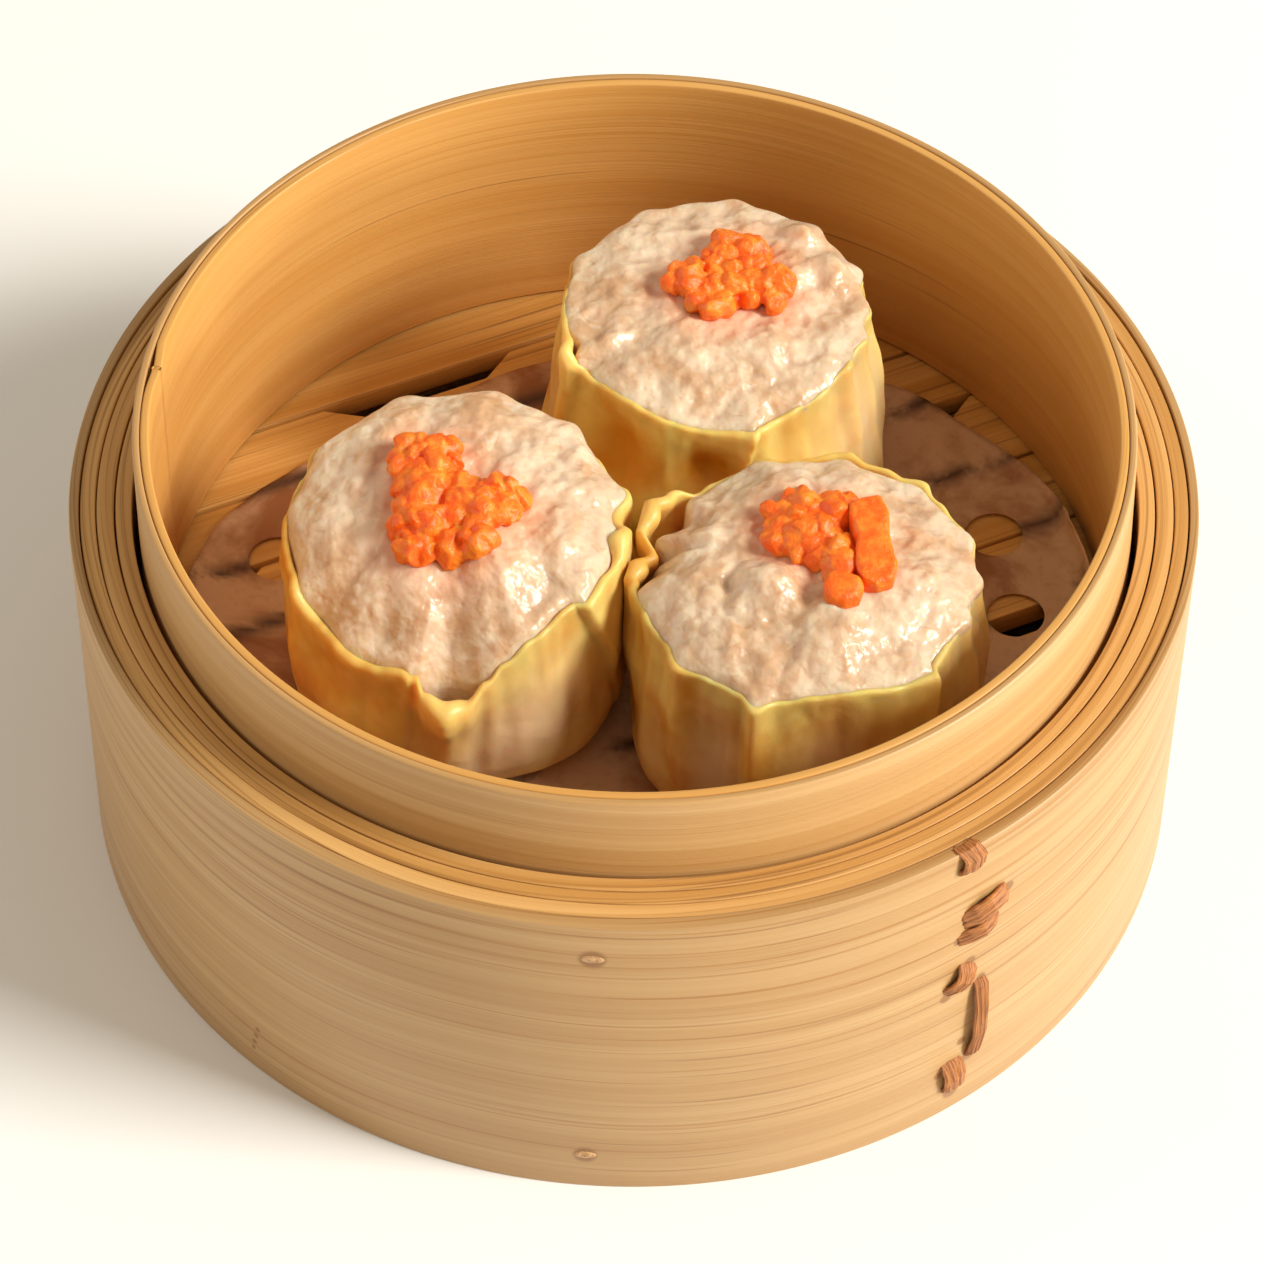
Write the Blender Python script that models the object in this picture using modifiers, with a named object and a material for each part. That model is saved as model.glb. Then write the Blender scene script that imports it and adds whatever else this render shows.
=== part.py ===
"""Siu mai dumplings on a punched paper liner in a small bamboo steamer basket.

Lengths are in metres and angles in degrees.  The frame's origin is the centre
of the basket's foot, +Z is up, and azimuths turn from +X towards +Y.
"""

import math
from dataclasses import dataclass

import bmesh
import bpy
from mathutils import Matrix, Vector, noise
from mathutils.bvhtree import BVHTree

GAP = 0.0003                  # clearance between neighbouring pieces
HOOP_SEGMENTS = 48            # facets round every hoop of the basket
DUMPLING_SEGMENTS = 36        # facets round a wrapper and its filling

WALL_RADIUS = 0.066
WALL_HEIGHT = 0.0485
TURN_COUNT = 4                # turns of bamboo band that make the wall
TURN_THICKNESS = 0.0016

HOOP_RADIUS = 0.0579          # inner hoop, which stands above the wall
HOOP_TOP = 0.0601
PLY_THICKNESS = 0.0008
PLY_SEAM_AZIMUTH = 171.0
PLY_SEAM_LEAN = 4.0

FLOOR_TOP = 0.024
SLAT_THICKNESS = 0.0031
SLAT_AZIMUTH = 25.0           # the way the slats run
SLAT_END_RADIUS = 0.0581
SLAT_SEAM = 0.0005
FIRST_SLAT_EDGE = 0.048
SLAT_WIDTHS = (0.0100, 0.0110, 0.0097, 0.0121, 0.0117, 0.0113, 0.0107, 0.0110, 0.0105)
SLOT_DEPTH = 0.0033
SLOT_LENGTH = 0.026
SLOT_SLANT = 0.0048           # how much shorter each end is at the slot's bottom
SLOTS = ((0, -0.008), (2, -0.050), (3, 0.0415), (4, -0.020), (6, 0.036), (7, -0.024))

SUPPORT_RADIUS = 0.0581       # hidden hoop that carries the slats
SUPPORT_INNER_RADIUS = 0.0552
SUPPORT_BOTTOM = 0.0125

LINER_CENTRE = (0.0036, -0.0116)
LINER_RADIUS = 0.0581
LINER_THICKNESS = 0.0002
LINER_WALL_RADIUS = 0.0553    # where the paper stands up against the hoop
LINER_BEND_RADIUS = 0.003
LINER_ROWS = 3
LINER_HOLE_RADIUS = 0.0035
LINER_HOLES = (
    (0.0441, 0.0143),
    (0.0462, 0.0012),
    (-0.0433, 0.0092),
    (-0.0400, -0.0270),
    (-0.0060, -0.0455),
    (0.0120, -0.0475),
    (0.0430, -0.0250),
)

WRAPPER_BASE = FLOOR_TOP + GAP + LINER_THICKNESS + GAP
WRAPPER_THICKNESS = 0.0010
FILLING_GAP = 0.0004
LUMP_HEIGHT = 0.0007
LUMP_SPACING = 0.0055
HEAP_LUMP_SHARE = 1.9         # how many lumps of noise fit a heap of unit size
HEAP_VARIETY = 400.0          # spreads the heaps over the noise, so each differs

PEG_RADIUS = 0.0012
PEG_DEPTH = 0.0013
PEGS = (("peg_upper", -93.5, 0.0429), ("peg_lower", -94.2, 0.0061))

STITCH_THICKNESS = 0.0007
STITCH_LIFT = 0.0006          # how far a stitch stands off the wall at its middle


@dataclass(frozen=True)
class Fold:
    """A fold or a dent in a wrapper; a negative height is a dent."""

    azimuth: float
    half_width: float
    height: float
    lean: float = 0.0


@dataclass(frozen=True)
class Lip:
    """A stretch of a wrapper's edge that turns outward and drops."""

    azimuth: float
    half_width: float
    reach: float
    drop: float = 0.0


@dataclass(frozen=True)
class Dumpling:
    """The sizes of one dumpling; heights are above the frame's floor."""

    name: str
    centre: tuple
    base_radius: float
    rim_radius: float
    belly: float
    rim_height: float
    rim_tilt: float
    tilt_azimuth: float
    crown_height: float
    folds: tuple
    lips: tuple


@dataclass(frozen=True)
class Heap:
    """A heap of minced carrot or a single chunk of it."""

    name: str
    on: str
    centre: tuple
    size: tuple
    turn: float
    unevenness: float


@dataclass(frozen=True)
class Stitch:
    """A stitch of rattan strip: a path of (radius, azimuth, height) points."""

    name: str
    width: float
    path: tuple


DUMPLINGS = (
    Dumpling(
        name="dumpling_left", centre=(-0.0205, -0.0092),
        base_radius=0.0192, rim_radius=0.0190, belly=0.0016,
        rim_height=0.0503, rim_tilt=0.0030, tilt_azimuth=75.0, crown_height=0.0562,
        folds=(
            Fold(-150.0, 16.0, 0.0010), Fold(-118.0, 14.0, 0.0008, 6.0),
            Fold(-62.0, 13.0, 0.0013, -22.0), Fold(-28.0, 14.0, 0.0016, -16.0),
            Fold(8.0, 13.0, 0.0012), Fold(45.0, 12.0, 0.0010),
            Fold(80.0, 14.0, 0.0012), Fold(120.0, 14.0, 0.0009),
            Fold(165.0, 14.0, 0.0011), Fold(-88.0, 13.0, -0.0007),
        ),
        lips=(Lip(-93.0, 17.0, 0.0036, 0.0026), Lip(0.0, 22.0, 0.0009)),
    ),
    Dumpling(
        name="dumpling_back", centre=(0.0094, 0.0225),
        base_radius=0.0210, rim_radius=0.0186, belly=0.0010,
        rim_height=0.0526, rim_tilt=0.0014, tilt_azimuth=80.0, crown_height=0.0566,
        folds=(
            Fold(-158.0, 13.0, 0.0012, 5.0), Fold(-112.0, 15.0, -0.0009),
            Fold(-88.0, 13.0, 0.0010), Fold(-68.0, 13.0, 0.0009, 14.0),
            Fold(-28.0, 12.0, 0.0009), Fold(-6.0, 12.0, 0.0011),
            Fold(22.0, 13.0, 0.0009), Fold(60.0, 13.0, 0.0012),
            Fold(95.0, 13.0, 0.0010), Fold(135.0, 14.0, 0.0011),
            Fold(178.0, 13.0, 0.0009),
        ),
        lips=(Lip(-159.0, 15.0, 0.0012, -0.0012), Lip(-68.0, 14.0, 0.0011, 0.0008)),
    ),
    Dumpling(
        name="dumpling_right", centre=(0.0202, -0.0180),
        base_radius=0.0202, rim_radius=0.0190, belly=0.0011,
        rim_height=0.0512, rim_tilt=0.0010, tilt_azimuth=90.0, crown_height=0.0564,
        folds=(
            Fold(-106.0, 13.0, 0.0013), Fold(-72.0, 16.0, -0.0007),
            Fold(-46.0, 13.0, 0.0012), Fold(-14.0, 12.0, 0.0010),
            Fold(12.0, 12.0, 0.0011), Fold(42.0, 13.0, 0.0010),
            Fold(75.0, 13.0, 0.0012), Fold(110.0, 14.0, 0.0009),
            Fold(148.0, 12.0, 0.0016), Fold(180.0, 13.0, 0.0013),
            Fold(-142.0, 14.0, 0.0009),
        ),
        lips=(Lip(146.0, 14.0, 0.0008, -0.0008), Lip(-108.0, 13.0, 0.0010),
              Lip(-46.0, 14.0, 0.0010)),
    ),
)

HEAPS = (
    Heap("carrot_left", "dumpling_left", (-0.0200, -0.0105), (0.0066, 0.0086, 0.0026), 30.0, 0.34),
    Heap("carrot_back", "dumpling_back", (0.0108, 0.0252), (0.0076, 0.0064, 0.0026), -20.0, 0.34),
    Heap("carrot_right", "dumpling_right", (0.0186, -0.0136), (0.0048, 0.0060, 0.0028), 20.0, 0.26),
    Heap("carrot_chunk_long", "dumpling_right", (0.0279, -0.0167), (0.0023, 0.0046, 0.0029), 6.0, 0.0),
    Heap("carrot_chunk_short", "dumpling_right", (0.0233, -0.0234), (0.0024, 0.0019, 0.0027), -14.0, 0.0),
)

STITCH_FOOT = WALL_RADIUS + GAP
OVER_RIM = WALL_HEIGHT + GAP
STITCHES = (
    Stitch("stitch_rim", 0.0034, (
        (STITCH_FOOT, -54.8, 0.0437), (STITCH_FOOT + STITCH_LIFT, -54.8, 0.0464),
        (STITCH_FOOT, -54.8, 0.0484), (WALL_RADIUS - 0.0008, -54.8, OVER_RIM + GAP),
        (WALL_RADIUS - 0.0028, -54.8, OVER_RIM))),
    Stitch("stitch_upper", 0.0030, (
        (STITCH_FOOT, -50.6, 0.0386), (STITCH_FOOT + STITCH_LIFT, -52.7, 0.0366),
        (STITCH_FOOT, -55.0, 0.0345))),
    Stitch("stitch_upper_tail", 0.0016, (
        (STITCH_FOOT, -54.2, 0.0330), (STITCH_FOOT + STITCH_LIFT, -54.4, 0.0318),
        (STITCH_FOOT, -54.6, 0.0306))),
    Stitch("stitch_middle", 0.0030, (
        (STITCH_FOOT, -54.5, 0.0268), (STITCH_FOOT + STITCH_LIFT, -55.5, 0.0245),
        (STITCH_FOOT, -56.5, 0.0222))),
    Stitch("stitch_long", 0.0022, (
        (STITCH_FOOT, -52.2, 0.0222), (STITCH_FOOT + STITCH_LIFT, -52.7, 0.0178),
        (STITCH_FOOT + STITCH_LIFT, -52.7, 0.0140), (STITCH_FOOT, -52.7, 0.0102))),
    Stitch("stitch_foot", 0.0030, (
        (STITCH_FOOT, -54.2, 0.0086), (STITCH_FOOT + STITCH_LIFT, -55.5, 0.0064),
        (STITCH_FOOT, -56.9, 0.0042))),
)

BAMBOO = ("bamboo", (0.80, 0.55, 0.28), 0.5)
BAMBOO_PALE = ("bamboo_wall", (0.82, 0.64, 0.40), 0.55)
BAMBOO_FLOOR = ("bamboo_floor", (0.62, 0.36, 0.15), 0.6)
RATTAN = ("rattan", (0.24, 0.09, 0.04), 0.6)
PAPER = ("paper", (0.62, 0.42, 0.30), 0.7)
DOUGH = ("dough", (0.85, 0.64, 0.26), 0.35)
MEAT = ("meat", (0.78, 0.60, 0.48), 0.3)
CARROT = ("carrot", (0.95, 0.30, 0.06), 0.4)


def clear_scene():
    """Remove every object so that only this model is left."""
    for old in list(bpy.data.objects):
        bpy.data.objects.remove(old, do_unlink=True)


def new_collection(name):
    """Add a collection to the scene and return it."""
    collection = bpy.data.collections.new(name)
    bpy.context.scene.collection.children.link(collection)
    return collection


def material(name, color, roughness):
    """Return a Principled material of one colour."""
    result = bpy.data.materials.new(name)
    result.use_nodes = True
    shader = result.node_tree.nodes["Principled BSDF"]
    shader.inputs["Base Color"].default_value = (*color, 1.0)
    shader.inputs["Roughness"].default_value = roughness
    shader.inputs["Metallic"].default_value = 0.0
    return result


def add_object(name, mesh, collection, finish=None):
    """Put a mesh in a collection as an object with its own material."""
    result = bpy.data.objects.new(name, mesh)
    collection.objects.link(result)
    if finish is not None:
        mesh.materials.clear()
        mesh.materials.append(material(name, finish[1], finish[2]))
    return result


def take(collection, name, finish=None):
    """Move the object that an operator has just added into a collection."""
    result = bpy.context.object
    result.name = name
    for old in list(result.users_collection):
        old.objects.unlink(result)
    collection.objects.link(result)
    if finish is not None:
        result.data.materials.clear()
        result.data.materials.append(material(name, finish[1], finish[2]))
    return result


def as_cutter(result):
    """Mark an object as a cutter, which is not a piece of the model."""
    result.hide_render = True
    result.display_type = "WIRE"
    return result


def boolean(target, cutter, operation):
    """Cut or trim a piece with another object."""
    modifier = target.modifiers.new(cutter.name, "BOOLEAN")
    modifier.operation = operation
    modifier.object = cutter
    modifier.solver = "EXACT"


def screw(target, steps):
    """Turn an object's profile once round Z."""
    modifier = target.modifiers.new("turn", "SCREW")
    modifier.steps = steps
    modifier.render_steps = steps
    modifier.use_merge_vertices = True
    modifier.merge_threshold = 0.00001


def profile_mesh(name, points, closed):
    """Return a mesh that joins (radius, height) points in the XZ plane."""
    mesh = bpy.data.meshes.new(name)
    verts = [(radius, 0.0, height) for radius, height in points]
    edges = [(index, index + 1) for index in range(len(points) - 1)]
    if closed:
        edges.append((len(points) - 1, 0))
    mesh.from_pydata(verts, edges, [])
    return mesh


def evaluated_mesh(source):
    """Return a plain mesh of an object with its modifiers applied."""
    graph = bpy.context.evaluated_depsgraph_get()
    return bpy.data.meshes.new_from_object(source.evaluated_get(graph))


def turned_mesh(name, points, closed, steps, cutters):
    """Turn a profile and return the mesh, for shapes that are bent further."""
    blank = as_cutter(add_object(name + "_profile", profile_mesh(name, points, closed), cutters))
    screw(blank, steps)
    mesh = evaluated_mesh(blank)
    bpy.data.objects.remove(blank, do_unlink=True)
    return mesh


def shade(target):
    """Shade a round piece smooth, with its corners sharp."""
    target.data.shade_smooth()
    target.data.set_sharp_from_angle(angle=math.radians(40.0))


def band(name, outer, inner, bottom, top, finish, collection):
    """Make one hoop of split bamboo from its radii and heights."""
    points = ((outer, top), (outer, bottom), (inner, bottom), (inner, top))
    result = add_object(name, profile_mesh(name, points, True), collection, finish)
    screw(result, HOOP_SEGMENTS)
    return result


def polar(radius, azimuth, height):
    """Return the point at a radius, azimuth and height."""
    angle = math.radians(azimuth)
    return Vector((radius * math.cos(angle), radius * math.sin(angle), height))


def bump(azimuth, centre, half_width):
    """Return a smooth hump: 1 at the centre and 0 past the half width."""
    away = abs((azimuth - centre + 180.0) % 360.0 - 180.0)
    if away >= half_width:
        return 0.0
    return math.cos(math.radians(90.0 * away / half_width)) ** 2


def build_wall(parts, cutters):
    """Make the wound wall, with the pegs set into its outer turn."""
    pitch = TURN_THICKNESS + GAP
    turns = []
    for index in range(TURN_COUNT):
        outer = WALL_RADIUS - index * pitch
        inner = outer - TURN_THICKNESS
        name = f"wall_turn_{index + 1}"
        turns.append(band(name, outer, inner, 0.0, WALL_HEIGHT, BAMBOO_PALE, parts))
    for name, azimuth, height in PEGS:
        turn = Matrix.Rotation(math.radians(azimuth), 4, "Z")
        lie = Matrix.Rotation(math.radians(90.0), 4, "Y")
        bpy.ops.mesh.primitive_cylinder_add(vertices=12, radius=PEG_RADIUS + GAP, depth=0.006)
        hole = as_cutter(take(cutters, name + "_hole"))
        hole.matrix_world = turn @ Matrix.Translation((WALL_RADIUS, 0.0, height)) @ lie
        boolean(turns[0], hole, "DIFFERENCE")
        bpy.ops.mesh.primitive_cylinder_add(vertices=12, radius=PEG_RADIUS, depth=PEG_DEPTH)
        peg = take(parts, name, RATTAN)
        middle = WALL_RADIUS - GAP - PEG_DEPTH / 2
        peg.matrix_world = turn @ Matrix.Translation((middle, 0.0, height)) @ lie
        shade(peg)


def build_hoops(parts, cutters):
    """Make the two plies of the inner hoop and the hoop under the floor."""
    bottom = FLOOR_TOP + GAP
    inner_ply_radius = HOOP_RADIUS - PLY_THICKNESS - GAP
    band("hoop_outer_ply", HOOP_RADIUS, HOOP_RADIUS - PLY_THICKNESS,
         bottom, HOOP_TOP, BAMBOO, parts)
    inner_ply = band("hoop_inner_ply", inner_ply_radius, inner_ply_radius - PLY_THICKNESS,
                     bottom, HOOP_TOP - 0.0002, BAMBOO, parts)
    bpy.ops.mesh.primitive_cube_add(size=1.0)
    seam = as_cutter(take(cutters, "ply_seam"))
    seam.matrix_world = (
        Matrix.Rotation(math.radians(PLY_SEAM_AZIMUTH), 4, "Z")
        @ Matrix.Translation((inner_ply_radius, 0.0, (bottom + HOOP_TOP) / 2))
        @ Matrix.Rotation(math.radians(PLY_SEAM_LEAN), 4, "X")
        @ Matrix.Diagonal((0.004, GAP, 0.06, 1.0))
    )
    boolean(inner_ply, seam, "DIFFERENCE")
    top = FLOOR_TOP - SLAT_THICKNESS - GAP
    band("support_hoop", SUPPORT_RADIUS, SUPPORT_INNER_RADIUS,
         SUPPORT_BOTTOM, top, BAMBOO_FLOOR, parts)


def slot_cutter(name, centre, edge, cutters):
    """Make the prism that cuts a slot with slanted ends into a slat's edge."""
    half = SLOT_LENGTH / 2
    reach = 0.002
    flare = SLOT_SLANT * reach / SLOT_DEPTH
    outline = (
        (centre - half - flare, edge + reach),
        (centre - half + SLOT_SLANT, edge - SLOT_DEPTH),
        (centre + half - SLOT_SLANT, edge - SLOT_DEPTH),
        (centre + half + flare, edge + reach),
    )
    mesh = bpy.data.meshes.new(name)
    mesh.from_pydata([(x, y, 0.0) for x, y in outline], [], [tuple(range(len(outline)))])
    shaper = bmesh.new()
    shaper.from_mesh(mesh)
    walls = bmesh.ops.extrude_face_region(shaper, geom=shaper.faces[:])
    raised = [item for item in walls["geom"] if isinstance(item, bmesh.types.BMVert)]
    bmesh.ops.translate(shaper, verts=raised, vec=(0.0, 0.0, 0.04))
    bmesh.ops.recalc_face_normals(shaper, faces=shaper.faces[:])
    shaper.to_mesh(mesh)
    shaper.free()
    result = as_cutter(add_object(name, mesh, cutters))
    result.matrix_world = Matrix.Rotation(math.radians(SLAT_AZIMUTH), 4, "Z")
    return result


def build_floor(parts, cutters):
    """Lay the slats side by side, round their ends and cut their slots."""
    middle = FLOOR_TOP - SLAT_THICKNESS / 2
    bpy.ops.mesh.primitive_cylinder_add(vertices=HOOP_SEGMENTS, radius=SLAT_END_RADIUS,
                                        depth=0.02, location=(0.0, 0.0, middle))
    disc = as_cutter(take(cutters, "floor_outline"))
    edges = [FIRST_SLAT_EDGE]
    for width in SLAT_WIDTHS:
        edges.append(edges[-1] - width)
    uppers = [SLAT_END_RADIUS] + edges
    lowers = edges + [-SLAT_END_RADIUS]
    turn = Matrix.Rotation(math.radians(SLAT_AZIMUTH), 4, "Z")
    for index, (upper, lower) in enumerate(zip(uppers, lowers)):
        name = f"slat_{index + 1:02d}"
        bpy.ops.mesh.primitive_cube_add(size=1.0)
        slat = take(parts, name, BAMBOO_FLOOR)
        length = 2 * SLAT_END_RADIUS + 0.01
        breadth = upper - lower - SLAT_SEAM
        size = Matrix.Diagonal((length, breadth, SLAT_THICKNESS, 1.0))
        slat.data.transform(size)
        slat.matrix_world = turn @ Matrix.Translation((0.0, (upper + lower) / 2, middle))
        boolean(slat, disc, "INTERSECT")
        for number, (edge_index, centre) in enumerate(SLOTS):
            if edge_index + 1 == index:
                cutter = slot_cutter(f"slot_{number + 1}", centre, edges[edge_index], cutters)
                boolean(slat, cutter, "DIFFERENCE")


def liner_length(azimuth):
    """Return how far the round liner reaches from the basket's axis."""
    angle = math.radians(azimuth)
    along = LINER_CENTRE[0] * math.cos(angle) + LINER_CENTRE[1] * math.sin(angle)
    across = LINER_CENTRE[0] * math.sin(angle) - LINER_CENTRE[1] * math.cos(angle)
    return along + math.sqrt(LINER_RADIUS ** 2 - across ** 2)


def liner_point(azimuth, length):
    """Return the paper's (radius, rise) at a length from the axis."""
    flat = LINER_WALL_RADIUS - LINER_BEND_RADIUS
    quarter = LINER_BEND_RADIUS * math.pi / 2
    if length <= flat:
        return length, 0.0
    if length < flat + quarter:
        angle = (length - flat) / LINER_BEND_RADIUS
        return (flat + LINER_BEND_RADIUS * math.sin(angle),
                LINER_BEND_RADIUS * (1.0 - math.cos(angle)))
    return LINER_WALL_RADIUS, LINER_BEND_RADIUS + length - flat - quarter


def build_liner(parts, cutters):
    """Make the paper liner, which stands up where it meets the hoop."""
    share = 1.0 / (LINER_ROWS + 1)
    stations = [(share * row, 0.0) for row in range(LINER_ROWS + 2)]
    mesh = turned_mesh("liner", stations, False, HOOP_SEGMENTS, cutters)
    flat = LINER_WALL_RADIUS - LINER_BEND_RADIUS
    bottom = FLOOR_TOP + GAP
    for vertex in mesh.vertices:
        row = math.hypot(vertex.co.x, vertex.co.y) / share
        azimuth = math.degrees(math.atan2(vertex.co.y, vertex.co.x))
        whole = liner_length(azimuth)
        first = min(flat, whole - 0.0012)
        length = first * row
        if row > 1.0:
            length = first + (whole - first) * (row - 1.0) / LINER_ROWS
        radius, rise = liner_point(azimuth, length)
        vertex.co = polar(radius, azimuth, bottom + rise)
    liner = add_object("liner", mesh, parts, PAPER)
    solid = liner.modifiers.new("thickness", "SOLIDIFY")
    solid.thickness = LINER_THICKNESS
    solid.offset = 1.0
    for index, centre in enumerate(LINER_HOLES):
        bpy.ops.mesh.primitive_cylinder_add(vertices=10, radius=LINER_HOLE_RADIUS, depth=0.004,
                                            location=(*centre, bottom))
        hole = as_cutter(take(cutters, f"liner_hole_{index + 1}"))
        boolean(liner, hole, "DIFFERENCE")


def skin_radius(form, azimuth, rise, folded):
    """Return a dumpling's radius at an azimuth, rise being 0 at foot and 1 at edge."""
    barrel = form.belly * math.sin(math.pi * rise ** 0.8)
    radius = form.base_radius + (form.rim_radius - form.base_radius) * rise + barrel
    radius -= 0.0022 * max(0.0, 1.0 - rise / 0.12) ** 2
    for fold in form.folds:
        if fold.height > 0.0 and not folded:
            continue
        hump = bump(azimuth - fold.lean * rise, fold.azimuth, fold.half_width)
        radius += fold.height * hump * (0.2 + 0.8 * rise)
    return radius


def edge_height(form, azimuth):
    """Return the height of a wrapper's edge at an azimuth."""
    height = form.rim_height
    height += form.rim_tilt * math.cos(math.radians(azimuth - form.tilt_azimuth))
    height += 0.0004 * math.sin(math.radians(7.0 * azimuth))
    for lip in form.lips:
        height -= lip.drop * bump(azimuth, lip.azimuth, lip.half_width)
    return height


def neighbour_limit(form, azimuth, inset):
    """Return the radius at which a dumpling is pressed flat by its neighbours."""
    limit = math.inf
    for other in DUMPLINGS:
        if other is form:
            continue
        apart = Vector(other.centre) - Vector(form.centre)
        share = form.base_radius / (form.base_radius + other.base_radius)
        reach = apart.length * share - GAP - inset
        away = math.radians(azimuth) - math.atan2(apart.y, apart.x)
        if math.cos(away) > 0.3:
            limit = min(limit, reach / math.cos(away))
    return limit


def lip_reach(form, azimuth):
    """Return how far a wrapper's edge turns outward at an azimuth."""
    return sum(lip.reach * bump(azimuth, lip.azimuth, lip.half_width) for lip in form.lips)


WALL_SHARE = 0.9              # a blank's radius at the inner face of its wall
OUTER_RISES = (0.0, 0.12, 0.34, 0.56, 0.78, 1.0)
INNER_RISES = (0.0, 0.12, 0.40, 0.72, 1.0)


def build_wrapper(form, parts, cutters):
    """Turn a blank cup, then move its points to the dumpling's folded wall."""
    floor_rise = WRAPPER_THICKNESS / (form.rim_height - WRAPPER_BASE)
    outer = [(1.0, rise) for rise in reversed(OUTER_RISES)]
    inner = [(WALL_SHARE, max(rise, floor_rise)) for rise in INNER_RISES]
    points = outer + [(0.6, 0.0), (0.0, 0.0), (0.0, floor_rise), (0.6, floor_rise)] + inner
    mesh = turned_mesh(form.name, points, True, DUMPLING_SEGMENTS, cutters)
    for vertex in mesh.vertices:
        share = math.hypot(vertex.co.x, vertex.co.y)
        rise = vertex.co.z
        azimuth = math.degrees(math.atan2(vertex.co.y, vertex.co.x))
        if share > (1.0 + WALL_SHARE) / 2:
            radius = skin_radius(form, azimuth, rise, True)
            radius += lip_reach(form, azimuth) * max(0.0, rise - 0.8) * 5.0
            radius = min(radius, neighbour_limit(form, azimuth, 0.0))
        else:
            face = skin_radius(form, azimuth, rise, False) - WRAPPER_THICKNESS
            face += lip_reach(form, azimuth) * max(0.0, rise - 0.8) * 5.0
            face = min(face, neighbour_limit(form, azimuth, WRAPPER_THICKNESS))
            radius = face * share / WALL_SHARE
        height = WRAPPER_BASE + rise * (edge_height(form, azimuth) - WRAPPER_BASE)
        spot = polar(radius, azimuth, height)
        vertex.co = (spot.x + form.centre[0], spot.y + form.centre[1], spot.z)
    wrapper = add_object(form.name + "_wrapper", mesh, parts, DOUGH)
    shade(wrapper)


def build_filling(form, parts, cutters):
    """Turn a blank plug with a domed top, then fit it inside the wrapper."""
    foot = (WRAPPER_THICKNESS + FILLING_GAP) / (form.rim_height - WRAPPER_BASE)
    dome = [(share, 2.0 - share) for share in (0.0, 0.22, 0.44, 0.66, 0.84, 0.95)]
    side = [(1.0, max(rise, foot)) for rise in reversed(INNER_RISES)]
    points = dome + side + [(0.5, foot), (0.0, foot)]
    mesh = turned_mesh(form.name, points, False, DUMPLING_SEGMENTS, cutters)
    for vertex in mesh.vertices:
        share = math.hypot(vertex.co.x, vertex.co.y)
        rise = min(vertex.co.z, 1.0)
        azimuth = math.degrees(math.atan2(vertex.co.y, vertex.co.x))
        inset = WRAPPER_THICKNESS + FILLING_GAP
        face = skin_radius(form, azimuth, rise, False) - inset
        face = min(face, neighbour_limit(form, azimuth, inset))
        edge = edge_height(form, azimuth)
        height = WRAPPER_BASE + rise * (edge - WRAPPER_BASE)
        spot = polar(face * share, azimuth, height)
        if vertex.co.z > 1.0:
            lump = noise.noise(Vector((spot.x, spot.y, 0.0)) / LUMP_SPACING)
            spot.z += (form.crown_height - edge) * (1.0 - share ** 3)
            spot.z += LUMP_HEIGHT * lump * (1.0 - share ** 4)
        vertex.co = (spot.x + form.centre[0], spot.y + form.centre[1], spot.z)
    filling = add_object(form.name + "_filling", mesh, parts, MEAT)
    shade(filling)
    return filling


def build_heap(heap, filling, parts):
    """Make one heap or chunk of carrot that lies on a filling's top."""
    turn = Matrix.Rotation(math.radians(heap.turn), 3, "Z")
    if heap.unevenness > 0.0:
        bpy.ops.mesh.primitive_ico_sphere_add(subdivisions=3, radius=1.0)
    else:
        bpy.ops.mesh.primitive_cube_add(size=2.0)
    result = take(parts, heap.name, CARROT)
    surface = BVHTree.FromPolygons([vertex.co for vertex in filling.data.vertices],
                                   [face.vertices for face in filling.data.polygons])
    for vertex in result.data.vertices:
        away = Vector(vertex.co)
        seat = Vector((*heap.centre, 0.0)) * HEAP_VARIETY
        swell = 1.0 + heap.unevenness * noise.noise(away * HEAP_LUMP_SHARE + seat)
        shape = Vector((away.x * heap.size[0], away.y * heap.size[1], 0.0)) * swell
        spot = turn @ shape + Vector((*heap.centre, 0.0))
        hit = surface.ray_cast(Vector((spot.x, spot.y, 0.1)), Vector((0.0, 0.0, -1.0)))[0]
        level = hit.z + 2 * GAP
        vertex.co = (spot.x, spot.y, level + max(0.0, away.z) * heap.size[2] * swell)
        if away.z <= 0.0:
            vertex.co.z = level + (1.0 + away.z) * GAP
    shade(result)


def build_stitch(stitch, parts):
    """Lay a strip of rattan along its path, its face turned outward."""
    count = len(stitch.path)
    bpy.ops.mesh.primitive_grid_add(x_subdivisions=1, y_subdivisions=count - 1, size=2.0)
    result = take(parts, stitch.name, RATTAN)
    arc = math.radians(stitch.path[-1][1] - stitch.path[0][1]) * WALL_RADIUS
    climb = stitch.path[-1][2] - stitch.path[0][2]
    length = math.hypot(arc, climb)
    for vertex in result.data.vertices:
        index = round((vertex.co.y + 1.0) / 2.0 * (count - 1))
        radius, azimuth, height = stitch.path[index]
        offset = vertex.co.x * stitch.width / 2
        turned = azimuth + math.degrees(offset * climb / length / WALL_RADIUS)
        vertex.co = polar(radius, turned, height - offset * arc / length)
    solid = result.modifiers.new("thickness", "SOLIDIFY")
    solid.thickness = STITCH_THICKNESS
    solid.offset = 1.0


def main():
    """Build the basket from the wall inward, then what it holds."""
    clear_scene()
    parts = new_collection("siu_mai_in_steamer")
    cutters = new_collection("cutters")
    build_wall(parts, cutters)
    build_hoops(parts, cutters)
    build_floor(parts, cutters)
    build_liner(parts, cutters)
    fillings = {}
    for form in DUMPLINGS:
        build_wrapper(form, parts, cutters)
        fillings[form.name] = build_filling(form, parts, cutters)
    for heap in HEAPS:
        build_heap(heap, fillings[heap.on], parts)
    for stitch in STITCHES:
        build_stitch(stitch, parts)


main()
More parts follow.
